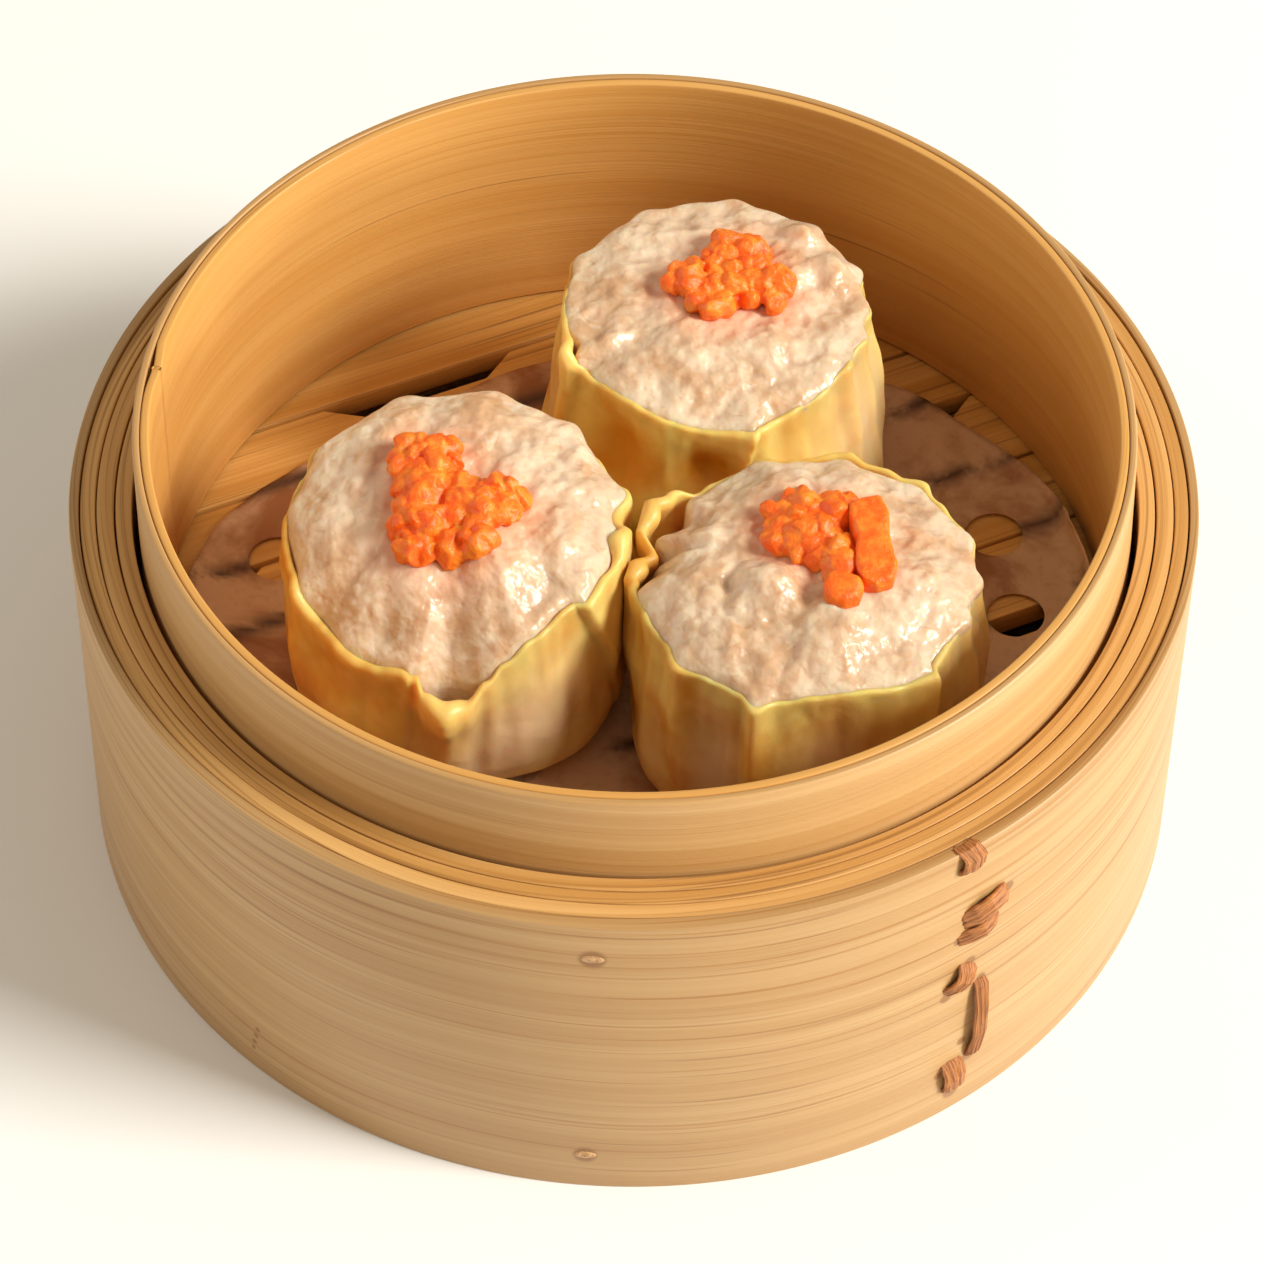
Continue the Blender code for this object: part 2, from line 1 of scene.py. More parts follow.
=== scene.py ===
"""Siu mai in a bamboo steamer: the finished look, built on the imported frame."""

import logging
import math
from dataclasses import dataclass, field
from enum import Enum
from typing import Optional, Sequence

import bpy
import numpy as np
from mathutils import Matrix, Vector, noise
from mathutils.bvhtree import BVHTree


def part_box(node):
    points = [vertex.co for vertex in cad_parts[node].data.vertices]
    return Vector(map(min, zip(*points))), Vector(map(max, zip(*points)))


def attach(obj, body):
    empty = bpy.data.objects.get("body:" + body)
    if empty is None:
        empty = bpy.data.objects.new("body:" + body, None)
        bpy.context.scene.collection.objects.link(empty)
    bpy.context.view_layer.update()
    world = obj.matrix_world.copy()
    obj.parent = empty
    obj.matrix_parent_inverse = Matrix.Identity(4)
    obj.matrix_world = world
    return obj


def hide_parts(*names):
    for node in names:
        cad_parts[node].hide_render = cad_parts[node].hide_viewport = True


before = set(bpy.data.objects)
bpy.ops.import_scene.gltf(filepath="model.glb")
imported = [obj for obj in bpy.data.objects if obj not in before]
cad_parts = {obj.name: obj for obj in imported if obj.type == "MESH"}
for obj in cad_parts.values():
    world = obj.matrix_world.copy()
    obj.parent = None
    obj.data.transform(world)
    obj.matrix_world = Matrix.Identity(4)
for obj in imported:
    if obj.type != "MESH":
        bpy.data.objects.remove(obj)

log = logging.getLogger("steamer")
BODY = "root"
MM = 0.001
CARROT_VOXEL = 0.17
GOLDEN_TURN = 2.399963
Color = tuple[float, float, float]
Node = bpy.types.Node
Socket = bpy.types.NodeSocket
Piece = bpy.types.Object


class Grain(Enum):
    """The way bamboo fibres run through a piece."""

    ROUND = "round the basket"
    STRAIGHT = "along the slats"


# ---------------------------------------------------------------- bench work


class Bench:
    """Selecting, shaping and finishing pieces by hand tools."""

    @staticmethod
    def clear() -> None:
        """Deselect everything."""
        bpy.ops.object.select_all(action="DESELECT")

    @staticmethod
    def pick(piece: Piece) -> None:
        """Select one piece and make it the active one.

        Args:
            piece: the piece to select.
        """
        Bench.clear()
        piece.select_set(True)
        bpy.context.view_layer.objects.active = piece

    @staticmethod
    def newest(name: str) -> Piece:
        """Name the piece that an operator has just added.

        Args:
            name: the piece's name.
        Returns:
            The piece.
        """
        piece = bpy.context.object
        piece.name = name
        piece.data.name = name
        return piece

    @staticmethod
    def copy(piece: Piece, name: str) -> Piece:
        """Copy a piece together with its mesh.

        Args:
            piece: what is copied.
            name: the copy's name.
        Returns:
            The copy.
        """
        twin = piece.copy()
        twin.data = piece.data.copy()
        twin.name = name
        twin.data.name = name
        bpy.context.scene.collection.objects.link(twin)
        return twin

    @staticmethod
    def apply(piece: Piece, kind: str, **settings: object) -> None:
        """Add a modifier to a piece and apply it.

        Args:
            piece: what is modified.
            kind: the modifier's type.
            settings: the modifier's values by name.
        """
        Bench.pick(piece)
        modifier = piece.modifiers.new(kind.lower(), kind)
        for key, value in settings.items():
            setattr(modifier, key, value)
        bpy.ops.object.modifier_apply(modifier=modifier.name)

    @staticmethod
    def soften(piece: Piece, width: float, angle: float, segments: int = 3) -> None:
        """Round a piece's edges.

        Args:
            piece: what is rounded.
            width: the rounding's width in millimetres.
            angle: edges sharper than this many degrees are rounded.
            segments: faces across each rounding.
        """
        Bench.apply(piece, "BEVEL", width=width * MM, segments=segments, limit_method="ANGLE",
                    angle_limit=math.radians(angle))

    @staticmethod
    def edit(piece: Piece) -> None:
        """Open a piece in edit mode with all of it selected.

        Args:
            piece: the piece to open.
        """
        Bench.pick(piece)
        bpy.ops.object.mode_set(mode="EDIT")
        bpy.ops.mesh.select_all(action="SELECT")

    @staticmethod
    def close() -> None:
        """Go back to object mode."""
        bpy.ops.object.mode_set(mode="OBJECT")

    @staticmethod
    def points(piece: Piece) -> np.ndarray:
        """Return a piece's points as an array of rows (x, y, z).

        Args:
            piece: the piece to read.
        Returns:
            One row for each point, in metres.
        """
        flat = np.empty(len(piece.data.vertices) * 3)
        piece.data.vertices.foreach_get("co", flat)
        return flat.reshape(-1, 3)

    @staticmethod
    def move(piece: Piece, points: np.ndarray) -> None:
        """Put a piece's points where an array says.

        Args:
            piece: the piece.
            points: rows (x, y, z), one for each point.
        """
        piece.data.vertices.foreach_set("co", np.ascontiguousarray(points).ravel())
        piece.data.update()

    @staticmethod
    def paint(piece: Piece, name: str, values: np.ndarray) -> None:
        """Store one number for each point, for a material to read.

        Args:
            piece: the piece.
            name: the attribute's name.
            values: the numbers.
        """
        layer = piece.data.attributes.new(name, "FLOAT", "POINT")
        layer.data.foreach_set("value", np.ascontiguousarray(values, dtype=np.float32))

    @staticmethod
    def settle(piece: Piece) -> None:
        """Apply a piece's place, turn and size, so that they are in its mesh."""
        Bench.pick(piece)
        bpy.ops.object.transform_apply(location=True, rotation=True, scale=True)

    @staticmethod
    def join(pieces: Sequence[Piece], name: str) -> Piece:
        """Join several pieces into the first.

        Args:
            pieces: what is joined.
            name: the joined piece's name.
        Returns:
            The joined piece.
        """
        Bench.clear()
        for piece in pieces:
            piece.select_set(True)
        bpy.context.view_layer.objects.active = pieces[0]
        bpy.ops.object.join()
        return Bench.newest(name)

    @staticmethod
    def hand_over(piece: Piece, finish: "Finish", slot: str, node: str) -> None:
        """Dress a finished piece and tie it to the frame.

        Args:
            piece: the finished piece.
            finish: what it is made of.
            slot: the record's material slot.
            node: the frame's node that it stands for.
        """
        piece.data.materials.clear()
        piece.data.materials.append(finish.material())
        piece.data.shade_smooth()
        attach(piece, BODY)
        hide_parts(node)
        log.info("%s: %d faces, %s", piece.name, len(piece.data.polygons), slot)


def ease(values: np.ndarray, low: float, high: float) -> np.ndarray:
    """Blend smoothly from 0 at low to 1 at high.

    Args:
        values: where the blend is read.
        low: where it starts.
        high: where it ends.
    Returns:
        The blend at each value.
    """
    share = np.clip((values - low) / (high - low), 0.0, 1.0)
    return share * share * (3.0 - 2.0 * share)


def polar(points: np.ndarray) -> tuple[np.ndarray, np.ndarray]:
    """Return the points' azimuths in degrees and their distances from the Z axis."""
    azimuths = np.degrees(np.arctan2(points[:, 1], points[:, 0]))
    return azimuths, np.hypot(points[:, 0], points[:, 1])


def turned_from(azimuths: np.ndarray, centre: float) -> np.ndarray:
    """Return the turn in degrees from a centre, between -180 and 180."""
    return (azimuths - centre + 180.0) % 360.0 - 180.0


def bell(azimuths: np.ndarray, middle: float, width: float, power: int = 2) -> np.ndarray:
    """Return a hump of height 1 round an azimuth; a high power makes it flat-topped."""
    return np.exp(-(turned_from(azimuths, middle) / width) ** power)


def rough(points: np.ndarray, size: float, seed: float = 0.0, octaves: int = 1) -> np.ndarray:
    """Read smooth noise, about -1 to 1, at a set of points.

    Args:
        points: rows (x, y, z) in metres.
        size: the width of a lump in metres.
        seed: shifts the pattern, so that pieces differ.
        octaves: how many finer layers are added.
    Returns:
        One number for each point.
    """
    shift = Vector((seed * 7.3, seed * 3.1, seed * 5.7))
    total = np.zeros(len(points))
    for octave in range(octaves):
        scale = 2.0 ** octave / size
        layer = [noise.noise(Vector(point) * scale + shift) for point in points]
        total += np.array(layer) * 0.5 ** octave
    return total


# ---------------------------------------------------------------- finishes


class Sketch:
    """A material that is drawn up node by node around one Principled shader."""

    def __init__(self, name: str) -> None:
        """Start a material with its shader.

        Args:
            name: the material's name.
        """
        self.result = bpy.data.materials.new(name)
        self.result.use_nodes = True
        self.tree = self.result.node_tree
        self.surface = self.tree.nodes["Principled BSDF"]

    def node(self, kind: str, **settings: object) -> Node:
        """Add a node and set its properties.

        Args:
            kind: the node's type, without its prefix.
            settings: properties and their values.
        Returns:
            The new node.
        """
        node = self.tree.nodes.new("ShaderNode" + kind)
        for key, value in settings.items():
            setattr(node, key, value)
        return node

    def feed(self, source: object, target: Socket) -> None:
        """Link a socket, or write a plain value, into a target socket.

        Args:
            source: a socket or a plain value.
            target: the socket that takes it.
        """
        if isinstance(source, bpy.types.NodeSocket):
            self.tree.links.new(source, target)
        else:
            target.default_value = source

    def place(self) -> Socket:
        """Return the object's own coordinates."""
        return self.node("TexCoord").outputs["Object"]

    def attribute(self, name: str) -> Socket:
        """Return a number that was painted on the mesh."""
        return self.node("Attribute", attribute_name=name).outputs["Fac"]

    def maths(self, operation: str, *values: object) -> Socket:
        """Work out a number from others.

        Args:
            operation: the sum to do.
            values: sockets or plain numbers, in order.
        Returns:
            The result's socket.
        """
        node = self.node("Math", operation=operation)
        for value, socket in zip(values, node.inputs):
            self.feed(value, socket)
        return node.outputs[0]

    def scaled(self, value: Socket, factor: float, start: float) -> Socket:
        """Return start plus a value times a factor."""
        return self.maths("ADD", self.maths("MULTIPLY", value, factor), start)

    def mapped(self, vector: Socket, scale: Sequence[float], turn: float = 0.0) -> Socket:
        """Turn a vector about Z by degrees, then scale it.

        Args:
            vector: the coordinates.
            scale: how much each axis is stretched.
            turn: degrees about Z.
        Returns:
            The new coordinates.
        """
        turned = self.node("VectorRotate", rotation_type="Z_AXIS")
        self.feed(vector, turned.inputs["Vector"])
        turned.inputs["Angle"].default_value = math.radians(turn)
        scaled = self.node("VectorMath", operation="MULTIPLY")
        self.feed(turned.outputs[0], scaled.inputs[0])
        scaled.inputs[1].default_value = tuple(scale)
        return scaled.outputs[0]

    def noise(self, vector: Socket, scale: float = 1.0, detail: float = 2.0,
              roughness: float = 0.5, distortion: float = 0.0) -> Socket:
        """Return noise between 0 and 1.

        Args:
            vector: the coordinates.
            scale: lumps per unit.
            detail: finer layers.
            roughness: how strong the finer layers are.
            distortion: how much the pattern is warped.
        Returns:
            The noise.
        """
        node = self.node("TexNoise")
        self.feed(vector, node.inputs["Vector"])
        node.inputs["Scale"].default_value = scale
        node.inputs["Detail"].default_value = detail
        node.inputs["Roughness"].default_value = roughness
        node.inputs["Distortion"].default_value = distortion
        return node.outputs["Fac"]

    def cells(self, vector: Socket, scale: float, smoothness: float = 0.6) -> Socket:
        """Return the distance to the nearest of scattered points.

        Args:
            vector: where the pattern is read.
            scale: points for each unit of length.
            smoothness: how softly the cells meet.
        Returns:
            The distance's socket.
        """
        node = self.node("TexVoronoi", feature="SMOOTH_F1")
        self.feed(vector, node.inputs["Vector"])
        node.inputs["Scale"].default_value = scale
        node.inputs["Smoothness"].default_value = smoothness
        return node.outputs["Distance"]

    def window(self, value: Socket, low: float, high: float) -> Socket:
        """Spread the range low to high over 0 to 1, with soft ends.

        Args:
            value: the number to spread.
            low: what becomes 0.
            high: what becomes 1.
        Returns:
            The result's socket.
        """
        node = self.node("MapRange", interpolation_type="SMOOTHSTEP")
        self.feed(value, node.inputs["Value"])
        node.inputs["From Min"].default_value = low
        node.inputs["From Max"].default_value = high
        return node.outputs["Result"]

    def blend(self, share: Socket, first: object, second: object, amount: float = 1.0) -> Socket:
        """Mix two colours.

        Args:
            share: how much of the second, 0 to 1.
            first: a colour or a socket.
            second: a colour or a socket.
            amount: what the share is scaled by.
        Returns:
            The mixed colour.
        """
        if amount != 1.0:
            share = self.maths("MULTIPLY", share, amount)
        node = self.node("Mix", data_type="RGBA")
        self.feed(share, node.inputs[0])
        for value, socket in ((first, node.inputs[6]), (second, node.inputs[7])):
            self.feed((*value, 1.0) if isinstance(value, tuple) else value, socket)
        return node.outputs[2]

    def emboss(self, height: Socket, depth: float, below: Optional[Socket] = None) -> Socket:
        """Return normals for a relief of a depth in metres.

        Args:
            height: the relief, from 0 to 1.
            depth: how far 1 stands above 0.
            below: normals of a coarser relief under it.
        Returns:
            The normals' socket.
        """
        node = self.node("Bump")
        self.feed(height, node.inputs["Height"])
        node.inputs["Distance"].default_value = depth
        if below is not None:
            self.feed(below, node.inputs["Normal"])
        return node.outputs["Normal"]

    def dress(self, **values: object) -> bpy.types.Material:
        """Write the shader's sockets, underscores standing for spaces, and return the material.

        Args:
            values: sockets or plain values, by socket name.
        Returns:
            The finished material.
        """
        for key, value in values.items():
            self.feed(value, self.surface.inputs[key.replace("_", " ")])
        return self.result


@dataclass(frozen=True)
class Finish:
    """What a piece is made of."""

    name: str

    def material(self) -> bpy.types.Material:
        """Return the finish's material, which is made once."""
        known = bpy.data.materials.get(self.name)
        return known if known is not None else self.draw(Sketch(self.name))

    def draw(self, sketch: Sketch) -> bpy.types.Material:
        """Draw the finish's nodes; every finish has its own."""
        raise NotImplementedError


@dataclass(frozen=True)
class Bamboo(Finish):
    """Split bamboo: long fibres, soft tone bands and a few dark streaks."""

    pale: Color = (0.515, 0.315, 0.132)
    deep: Color = (0.445, 0.25, 0.09)
    # This dark colour is used for the streaks and for the painted shade in the wall's holes.
    streak_and_hole_shade: Color = (0.24, 0.10, 0.025)
    line: Color = (0.36, 0.165, 0.038)
    grain: Grain = Grain.ROUND
    azimuth: float = 0.0
    band_width: float = 520.0
    streak_start: float = 0.60
    fibre_depth: float = 0.00007
    line_share: float = 0.75
    sheen: float = 0.35
    # Spots of painted shade where the stitches and pegs go into the wall.
    hole_shades: tuple[tuple[float, float, float, float], ...] = ()

    def fibres(self, sketch: Sketch, along: float, across: float) -> Socket:
        """Return coordinates that are long with the grain and fine across it.

        Args:
            sketch: the material.
            along: lumps per metre with the grain.
            across: lumps per metre across it.
        Returns:
            The coordinates.
        """
        place = sketch.place()
        if self.grain is Grain.STRAIGHT:
            return sketch.mapped(place, (along, across, across), -self.azimuth)
        split = sketch.node("SeparateXYZ")
        sketch.feed(place, split.inputs[0])
        squares = [sketch.maths("MULTIPLY", split.outputs[i], split.outputs[i]) for i in (0, 1)]
        radius = sketch.maths("SQRT", sketch.maths("ADD", *squares))
        depth = sketch.maths("ADD", split.outputs[2], radius)
        wander = sketch.noise(place, 14.0, 1.0)
        depth = sketch.maths("ADD", depth, sketch.maths("MULTIPLY", wander, 0.004))
        joined = sketch.node("CombineXYZ")
        for index in (0, 1):
            sketch.feed(sketch.maths("MULTIPLY", split.outputs[index], along),
                        joined.inputs[index])
        sketch.feed(sketch.maths("MULTIPLY", depth, across), joined.inputs[2])
        return joined.outputs[0]

    def draw(self, sketch: Sketch) -> bpy.types.Material:
        """Draw tone bands, fibres, streaks and painted shade round the holes where the stitches
        and pegs go in.

        Args:
            sketch: the material that is being drawn.
        Returns:
            The finished material.
        """
        bands = sketch.noise(self.fibres(sketch, 7.0, self.band_width), 1.0, 2.0, 0.5)
        fine = sketch.noise(self.fibres(sketch, 12.0, 3400.0), 1.0, 2.0, 0.6)
        lines = sketch.noise(self.fibres(sketch, 16.0, 1900.0), 1.0, 1.0, 0.5)
        clouds = sketch.noise(sketch.place(), 26.0, 2.0)
        level = sketch.noise(self.fibres(sketch, 3.0, 430.0), 1.0, 1.5, 0.45)
        thin = sketch.maths("ABSOLUTE", sketch.maths("SUBTRACT", level, 0.5))
        thin = sketch.maths("MULTIPLY", sketch.window(thin, 0.027, 0.006),
                            sketch.window(lines, 0.40, 0.56))
        color = sketch.blend(sketch.window(bands, 0.30, 0.72), self.pale, self.deep)
        color = sketch.blend(sketch.window(fine, 0.40, 0.72), color, self.deep, 0.45)
        color = sketch.blend(thin, color, self.line, self.line_share)
        dark = sketch.window(lines, self.streak_start, self.streak_start + 0.08)
        dark = sketch.maths("MULTIPLY", dark, sketch.window(clouds, 0.35, 0.65))
        color = sketch.blend(dark, color, self.streak_and_hole_shade, 0.60)
        # Painted shade: dark spots where the stitches and pegs go into the wall.
        for x, y, z, size in self.hole_shades:
            away = sketch.node("VectorMath", operation="DISTANCE")
            sketch.feed(sketch.place(), away.inputs[0])
            away.inputs[1].default_value = (x, y, z)
            hole_shade = sketch.window(away.outputs["Value"], size, size * 0.55)
            color = sketch.blend(hole_shade, color, self.streak_and_hole_shade, 0.85)
        height = sketch.maths("ADD", fine, sketch.maths("MULTIPLY", bands, 0.8))
        rough_share = sketch.window(fine, 0.2, 0.8)
        roughness = sketch.scaled(rough_share, 0.16, 0.42)
        return sketch.dress(Base_Color=color, Roughness=roughness,
                            Normal=sketch.emboss(height, self.fibre_depth),
                            Specular_IOR_Level=0.4, Coat_Weight=self.sheen, Coat_Roughness=0.38)


@dataclass(frozen=True)
class Rattan(Finish):
    """Dark rattan strip with coarse fibres."""

    pale: Color = (0.64, 0.25, 0.065)
    deep: Color = (0.17, 0.042, 0.009)

    def draw(self, sketch: Sketch) -> bpy.types.Material:
        """Draw fibres across the strip from the strip's own width attribute.

        Args:
            sketch: the material that is being drawn.
        Returns:
            The finished material.
        """
        across = sketch.node("CombineXYZ")
        sketch.feed(sketch.maths("MULTIPLY", sketch.attribute("across"), 7.0), across.inputs[0])
        sketch.feed(sketch.maths("MULTIPLY", sketch.attribute("along"), 1.6), across.inputs[1])
        fibres = sketch.noise(across.outputs[0], 1.0, 3.0, 0.7)
        color = sketch.blend(sketch.window(fibres, 0.30, 0.70), self.deep, self.pale)
        return sketch.dress(Base_Color=color, Roughness=0.55,
                            Normal=sketch.emboss(fibres, 0.0004))


@dataclass(frozen=True)
class DampPaper(Finish):
    """Steamed paper: brown where it is wet through, and mottled."""

    dry: Color = (0.66, 0.42, 0.25)
    wet: Color = (0.33, 0.13, 0.045)
    shadow: Color = (0.06, 0.022, 0.008)

    def draw(self, sketch: Sketch) -> bpy.types.Material:
        """Draw blotches, fibres and the painted shade of the slats' seams under the paper.

        Args:
            sketch: the material that is being drawn.
        Returns:
            The finished material.
        """
        place = sketch.place()
        blotches = sketch.noise(place, 48.0, 5.0, 0.62, 0.5)
        speckle = sketch.noise(place, 900.0, 2.0)
        color = sketch.blend(sketch.window(blotches, 0.42, 0.62), self.dry, self.wet)
        color = sketch.blend(sketch.window(speckle, 0.5, 0.8), color, self.wet, 0.25)
        # Painted shade: dark bands over the seams between the slats, broken up by the blotches.
        through = sketch.maths("MULTIPLY", sketch.attribute("seam"),
                               sketch.window(blotches, 0.40, 0.50))
        color = sketch.blend(through, color, self.shadow, 0.95)
        return sketch.dress(Base_Color=color, Roughness=0.62,
                            Normal=sketch.emboss(blotches, 0.0005),
                            Subsurface_Weight=0.15, Subsurface_Scale=0.0008)


@dataclass(frozen=True)
class Dough(Finish):
    """Steamed egg dough: yellow, moist and a little see-through."""

    # The bright yellow is the dough's own colour and also the colour of the painted light on its
    # lit side.
    bright: Color = (0.88, 0.61, 0.18)
    # The deeper tone is the dough's own, and is also used for the painted shade in dents and
    # inward wrinkles.
    amber_and_shade: Color = (0.66, 0.27, 0.012)
    # The pressed colour is the meat showing through thin dough; in some patches it is painted
    # light on the side turned to the key lamp.
    pressed: Color = (0.80, 0.54, 0.32)

    def draw(self, sketch: Sketch) -> bpy.types.Material:
        """Draw the dough's yellow tone, painted light on its lit side and ridges, painted shade in
        its dents, and the meat that shows through.

        Args:
            sketch: the material that is being drawn.
        Returns:
            The finished material.
        """
        place = sketch.place()
        clouds = sketch.noise(place, 130.0, 3.0, 0.5, 0.3)
        pores = sketch.noise(place, 1500.0, 2.0)
        color = sketch.blend(sketch.window(clouds, 0.30, 0.75), self.bright, self.amber_and_shade)
        # Painted light: paler on the side turned to the key lamp and on outward wrinkles; also
        # paler at the rim and on folds.
        color = sketch.blend(sketch.attribute("pale"), color, self.bright)
        # Painted shade: deeper orange in dents and inward wrinkles.
        color = sketch.blend(sketch.attribute("hollow_shade"), color, self.amber_and_shade)
        # Meat seen through thin dough; some of these patches are painted light on the lit side.
        color = sketch.blend(sketch.attribute("press"), color, self.pressed)
        roughness = sketch.scaled(clouds, 0.25, 0.38)
        relief = sketch.emboss(pores, 0.00003, sketch.emboss(clouds, 0.0004))
        return sketch.dress(Base_Color=color, Roughness=roughness, Normal=relief,
                            Coat_Normal=relief, Subsurface_Weight=0.7, Subsurface_Scale=0.0026,
                            Subsurface_Radius=(1.0, 0.48, 0.16), Coat_Weight=0.22,
                            Coat_Roughness=0.30, Specular_IOR_Level=0.5)


@dataclass(frozen=True)
class Pork(Finish):
    """Steamed minced pork and prawn: mottled pink, tan and white, and wet."""

    fat: Color = (0.82, 0.66, 0.48)
    lean: Color = (0.66, 0.41, 0.23)
    # The brown is the meat's own darker tone and also the painted shade in its creases.
    brown: Color = (0.50, 0.26, 0.13)
    juice: Color = (0.92, 0.36, 0.20)

    def draw(self, sketch: Sketch) -> bpy.types.Material:
        """Draw the mottling, the wet relief, painted shade in the creases and the carrot's juice.

        Args:
            sketch: the material that is being drawn.
        Returns:
            The finished material.
        """
        place = sketch.place()
        patches = sketch.noise(place, 150.0, 3.0, 0.6, 0.6)
        threads = sketch.noise(place, 420.0, 2.0, 0.5, 0.8)
        grains = sketch.cells(place, 700.0)
        color = sketch.blend(sketch.window(patches, 0.38, 0.68), self.fat, self.lean)
        color = sketch.blend(sketch.window(threads, 0.58, 0.74), color, self.brown, 0.40)
        color = sketch.blend(sketch.window(threads, 0.46, 0.30), color, self.fat, 0.6)
        # Painted shade: the creases are painted brown.
        color = sketch.blend(sketch.attribute("sunk"), color, self.brown, 0.55)
        color = sketch.blend(sketch.attribute("stain"), color, self.juice, 0.50)
        beads = sketch.cells(place, 1500.0)
        relief = sketch.emboss(grains, 0.00017, sketch.emboss(beads, 0.00008))
        relief = sketch.emboss(threads, 0.00014, relief)
        roughness = sketch.scaled(patches, 0.30, 0.26)
        return sketch.dress(Base_Color=color, Roughness=roughness, Normal=relief,
                            Coat_Normal=relief, Subsurface_Weight=0.6, Subsurface_Scale=0.0028,
                            Subsurface_Radius=(1.0, 0.5, 0.25), Coat_Weight=0.42,
                            Coat_Roughness=0.18, Specular_IOR_Level=0.5)


@dataclass(frozen=True)
class Carrot(Finish):
    """Steamed carrot: bright orange with a grainy cut face."""

    bright: Color = (0.94, 0.13, 0.002)
    light: Color = (0.97, 0.27, 0.018)

    def draw(self, sketch: Sketch) -> bpy.types.Material:
        """Draw soft patches and fine grains.

        Args:
            sketch: the material that is being drawn.
        Returns:
            The finished material.
        """
        place = sketch.place()
        patches = sketch.noise(place, 420.0, 3.0, 0.6)
        grains = sketch.noise(place, 2200.0, 2.0)
        color = sketch.blend(sketch.window(patches, 0.35, 0.70), self.bright, self.light)
        relief = sketch.emboss(grains, 0.00012, sketch.emboss(patches, 0.0004))
        return sketch.dress(Base_Color=color, Roughness=0.5, Normal=relief,
                            Subsurface_Weight=0.5, Subsurface_Scale=0.0016,
                            Subsurface_Radius=(1.0, 0.3, 0.03), Coat_Weight=0.08,
                            Coat_Roughness=0.2)


@dataclass(frozen=True)
class Backdrop(Finish):
    """A plain pale table."""

    color: Color = (0.90, 0.90, 0.89)

    def draw(self, sketch: Sketch) -> bpy.types.Material:
        """Draw an even matt surface."""
        return sketch.dress(Base_Color=(*self.color, 1.0), Roughness=0.9)


# Painted shade at the holes where the stitches and pegs go into the wall: azimuth, height and
# size.
HOLE_SHADES = (
    (-54.4, 44.6, 0.9), (-50.0, 37.2, 1.1), (-55.8, 32.4, 1.0), (-54.2, 27.3, 1.0),
    (-56.9, 22.6, 1.0), (-52.6, 22.9, 0.9), (-53.2, 8.8, 1.2), (-54.4, 12.4, 0.8),
    (-55.3, 3.4, 1.4), (-57.0, 7.8, 0.8), (-93.5, 42.9, 1.9), (-94.2, 6.1, 1.7),
    (-130.9, 8.0, 0.5), (-131.2, 6.6, 0.5), (-131.5, 5.2, 0.5), (-131.7, 3.9, 0.4),
)


def wall_hole_shade(azimuth: float, height: float, size: float) -> tuple[float, float, float, float]:
    """Return a spot of painted shade at a hole in the wall as (x, y, z, size) in metres, from
    degrees and millimetres.

    Args:
        azimuth: the spot's direction from the axis, in degrees.
        height: its height above the foot, in millimetres.
        size: its radius, in millimetres.
    Returns:
        The mark, in metres.
    """
    angle = math.radians(azimuth)
    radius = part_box("wall_turn_1")[1][0]
    return (radius * math.cos(angle), radius * math.sin(angle), height * MM, size * MM)


OUTER_BAMBOO = Bamboo("outer_bamboo", hole_shades=tuple(wall_hole_shade(*mark) for mark in HOLE_SHADES))
INNER_TURN = Bamboo("inner_turn_bamboo", pale=(0.74, 0.44, 0.16), deep=(0.54, 0.27, 0.07),
                    streak_start=0.56, sheen=0.15)
RIM_BAMBOO = Bamboo("rim_bamboo", pale=(0.56, 0.33, 0.13), deep=(0.48, 0.26, 0.086),
                    streak_start=0.68, fibre_depth=0.00005, line_share=0.3)
HOOP_BAMBOO = Bamboo("hoop_bamboo", pale=(0.70, 0.38, 0.11), deep=(0.63, 0.315, 0.075),
                     line=(0.60, 0.28, 0.06), band_width=420.0, streak_start=0.70,
                     fibre_depth=0.00005, line_share=0.4, sheen=0.1)
FLOOR_BAMBOO = Bamboo("floor_bamboo", pale=(0.80, 0.46, 0.14), deep=(0.60, 0.28, 0.05),
                      grain=Grain.STRAIGHT, azimuth=25.0, band_width=330.0,
                      fibre_depth=0.0001, sheen=0.1)
PEG_BAMBOO = Bamboo("peg_bamboo", pale=(0.66, 0.40, 0.18), deep=(0.38, 0.18, 0.06),
                    grain=Grain.STRAIGHT, azimuth=90.0, band_width=1500.0)
RATTAN = Rattan("dark_rattan")
PAPER = DampPaper("damp_paper")
DOUGH = Dough("egg_dough")
PORK = Pork("steamed_pork")
CARROT = Carrot("steamed_carrot")
BACKDROP = Backdrop("backdrop")


# ---------------------------------------------------------------- the basket


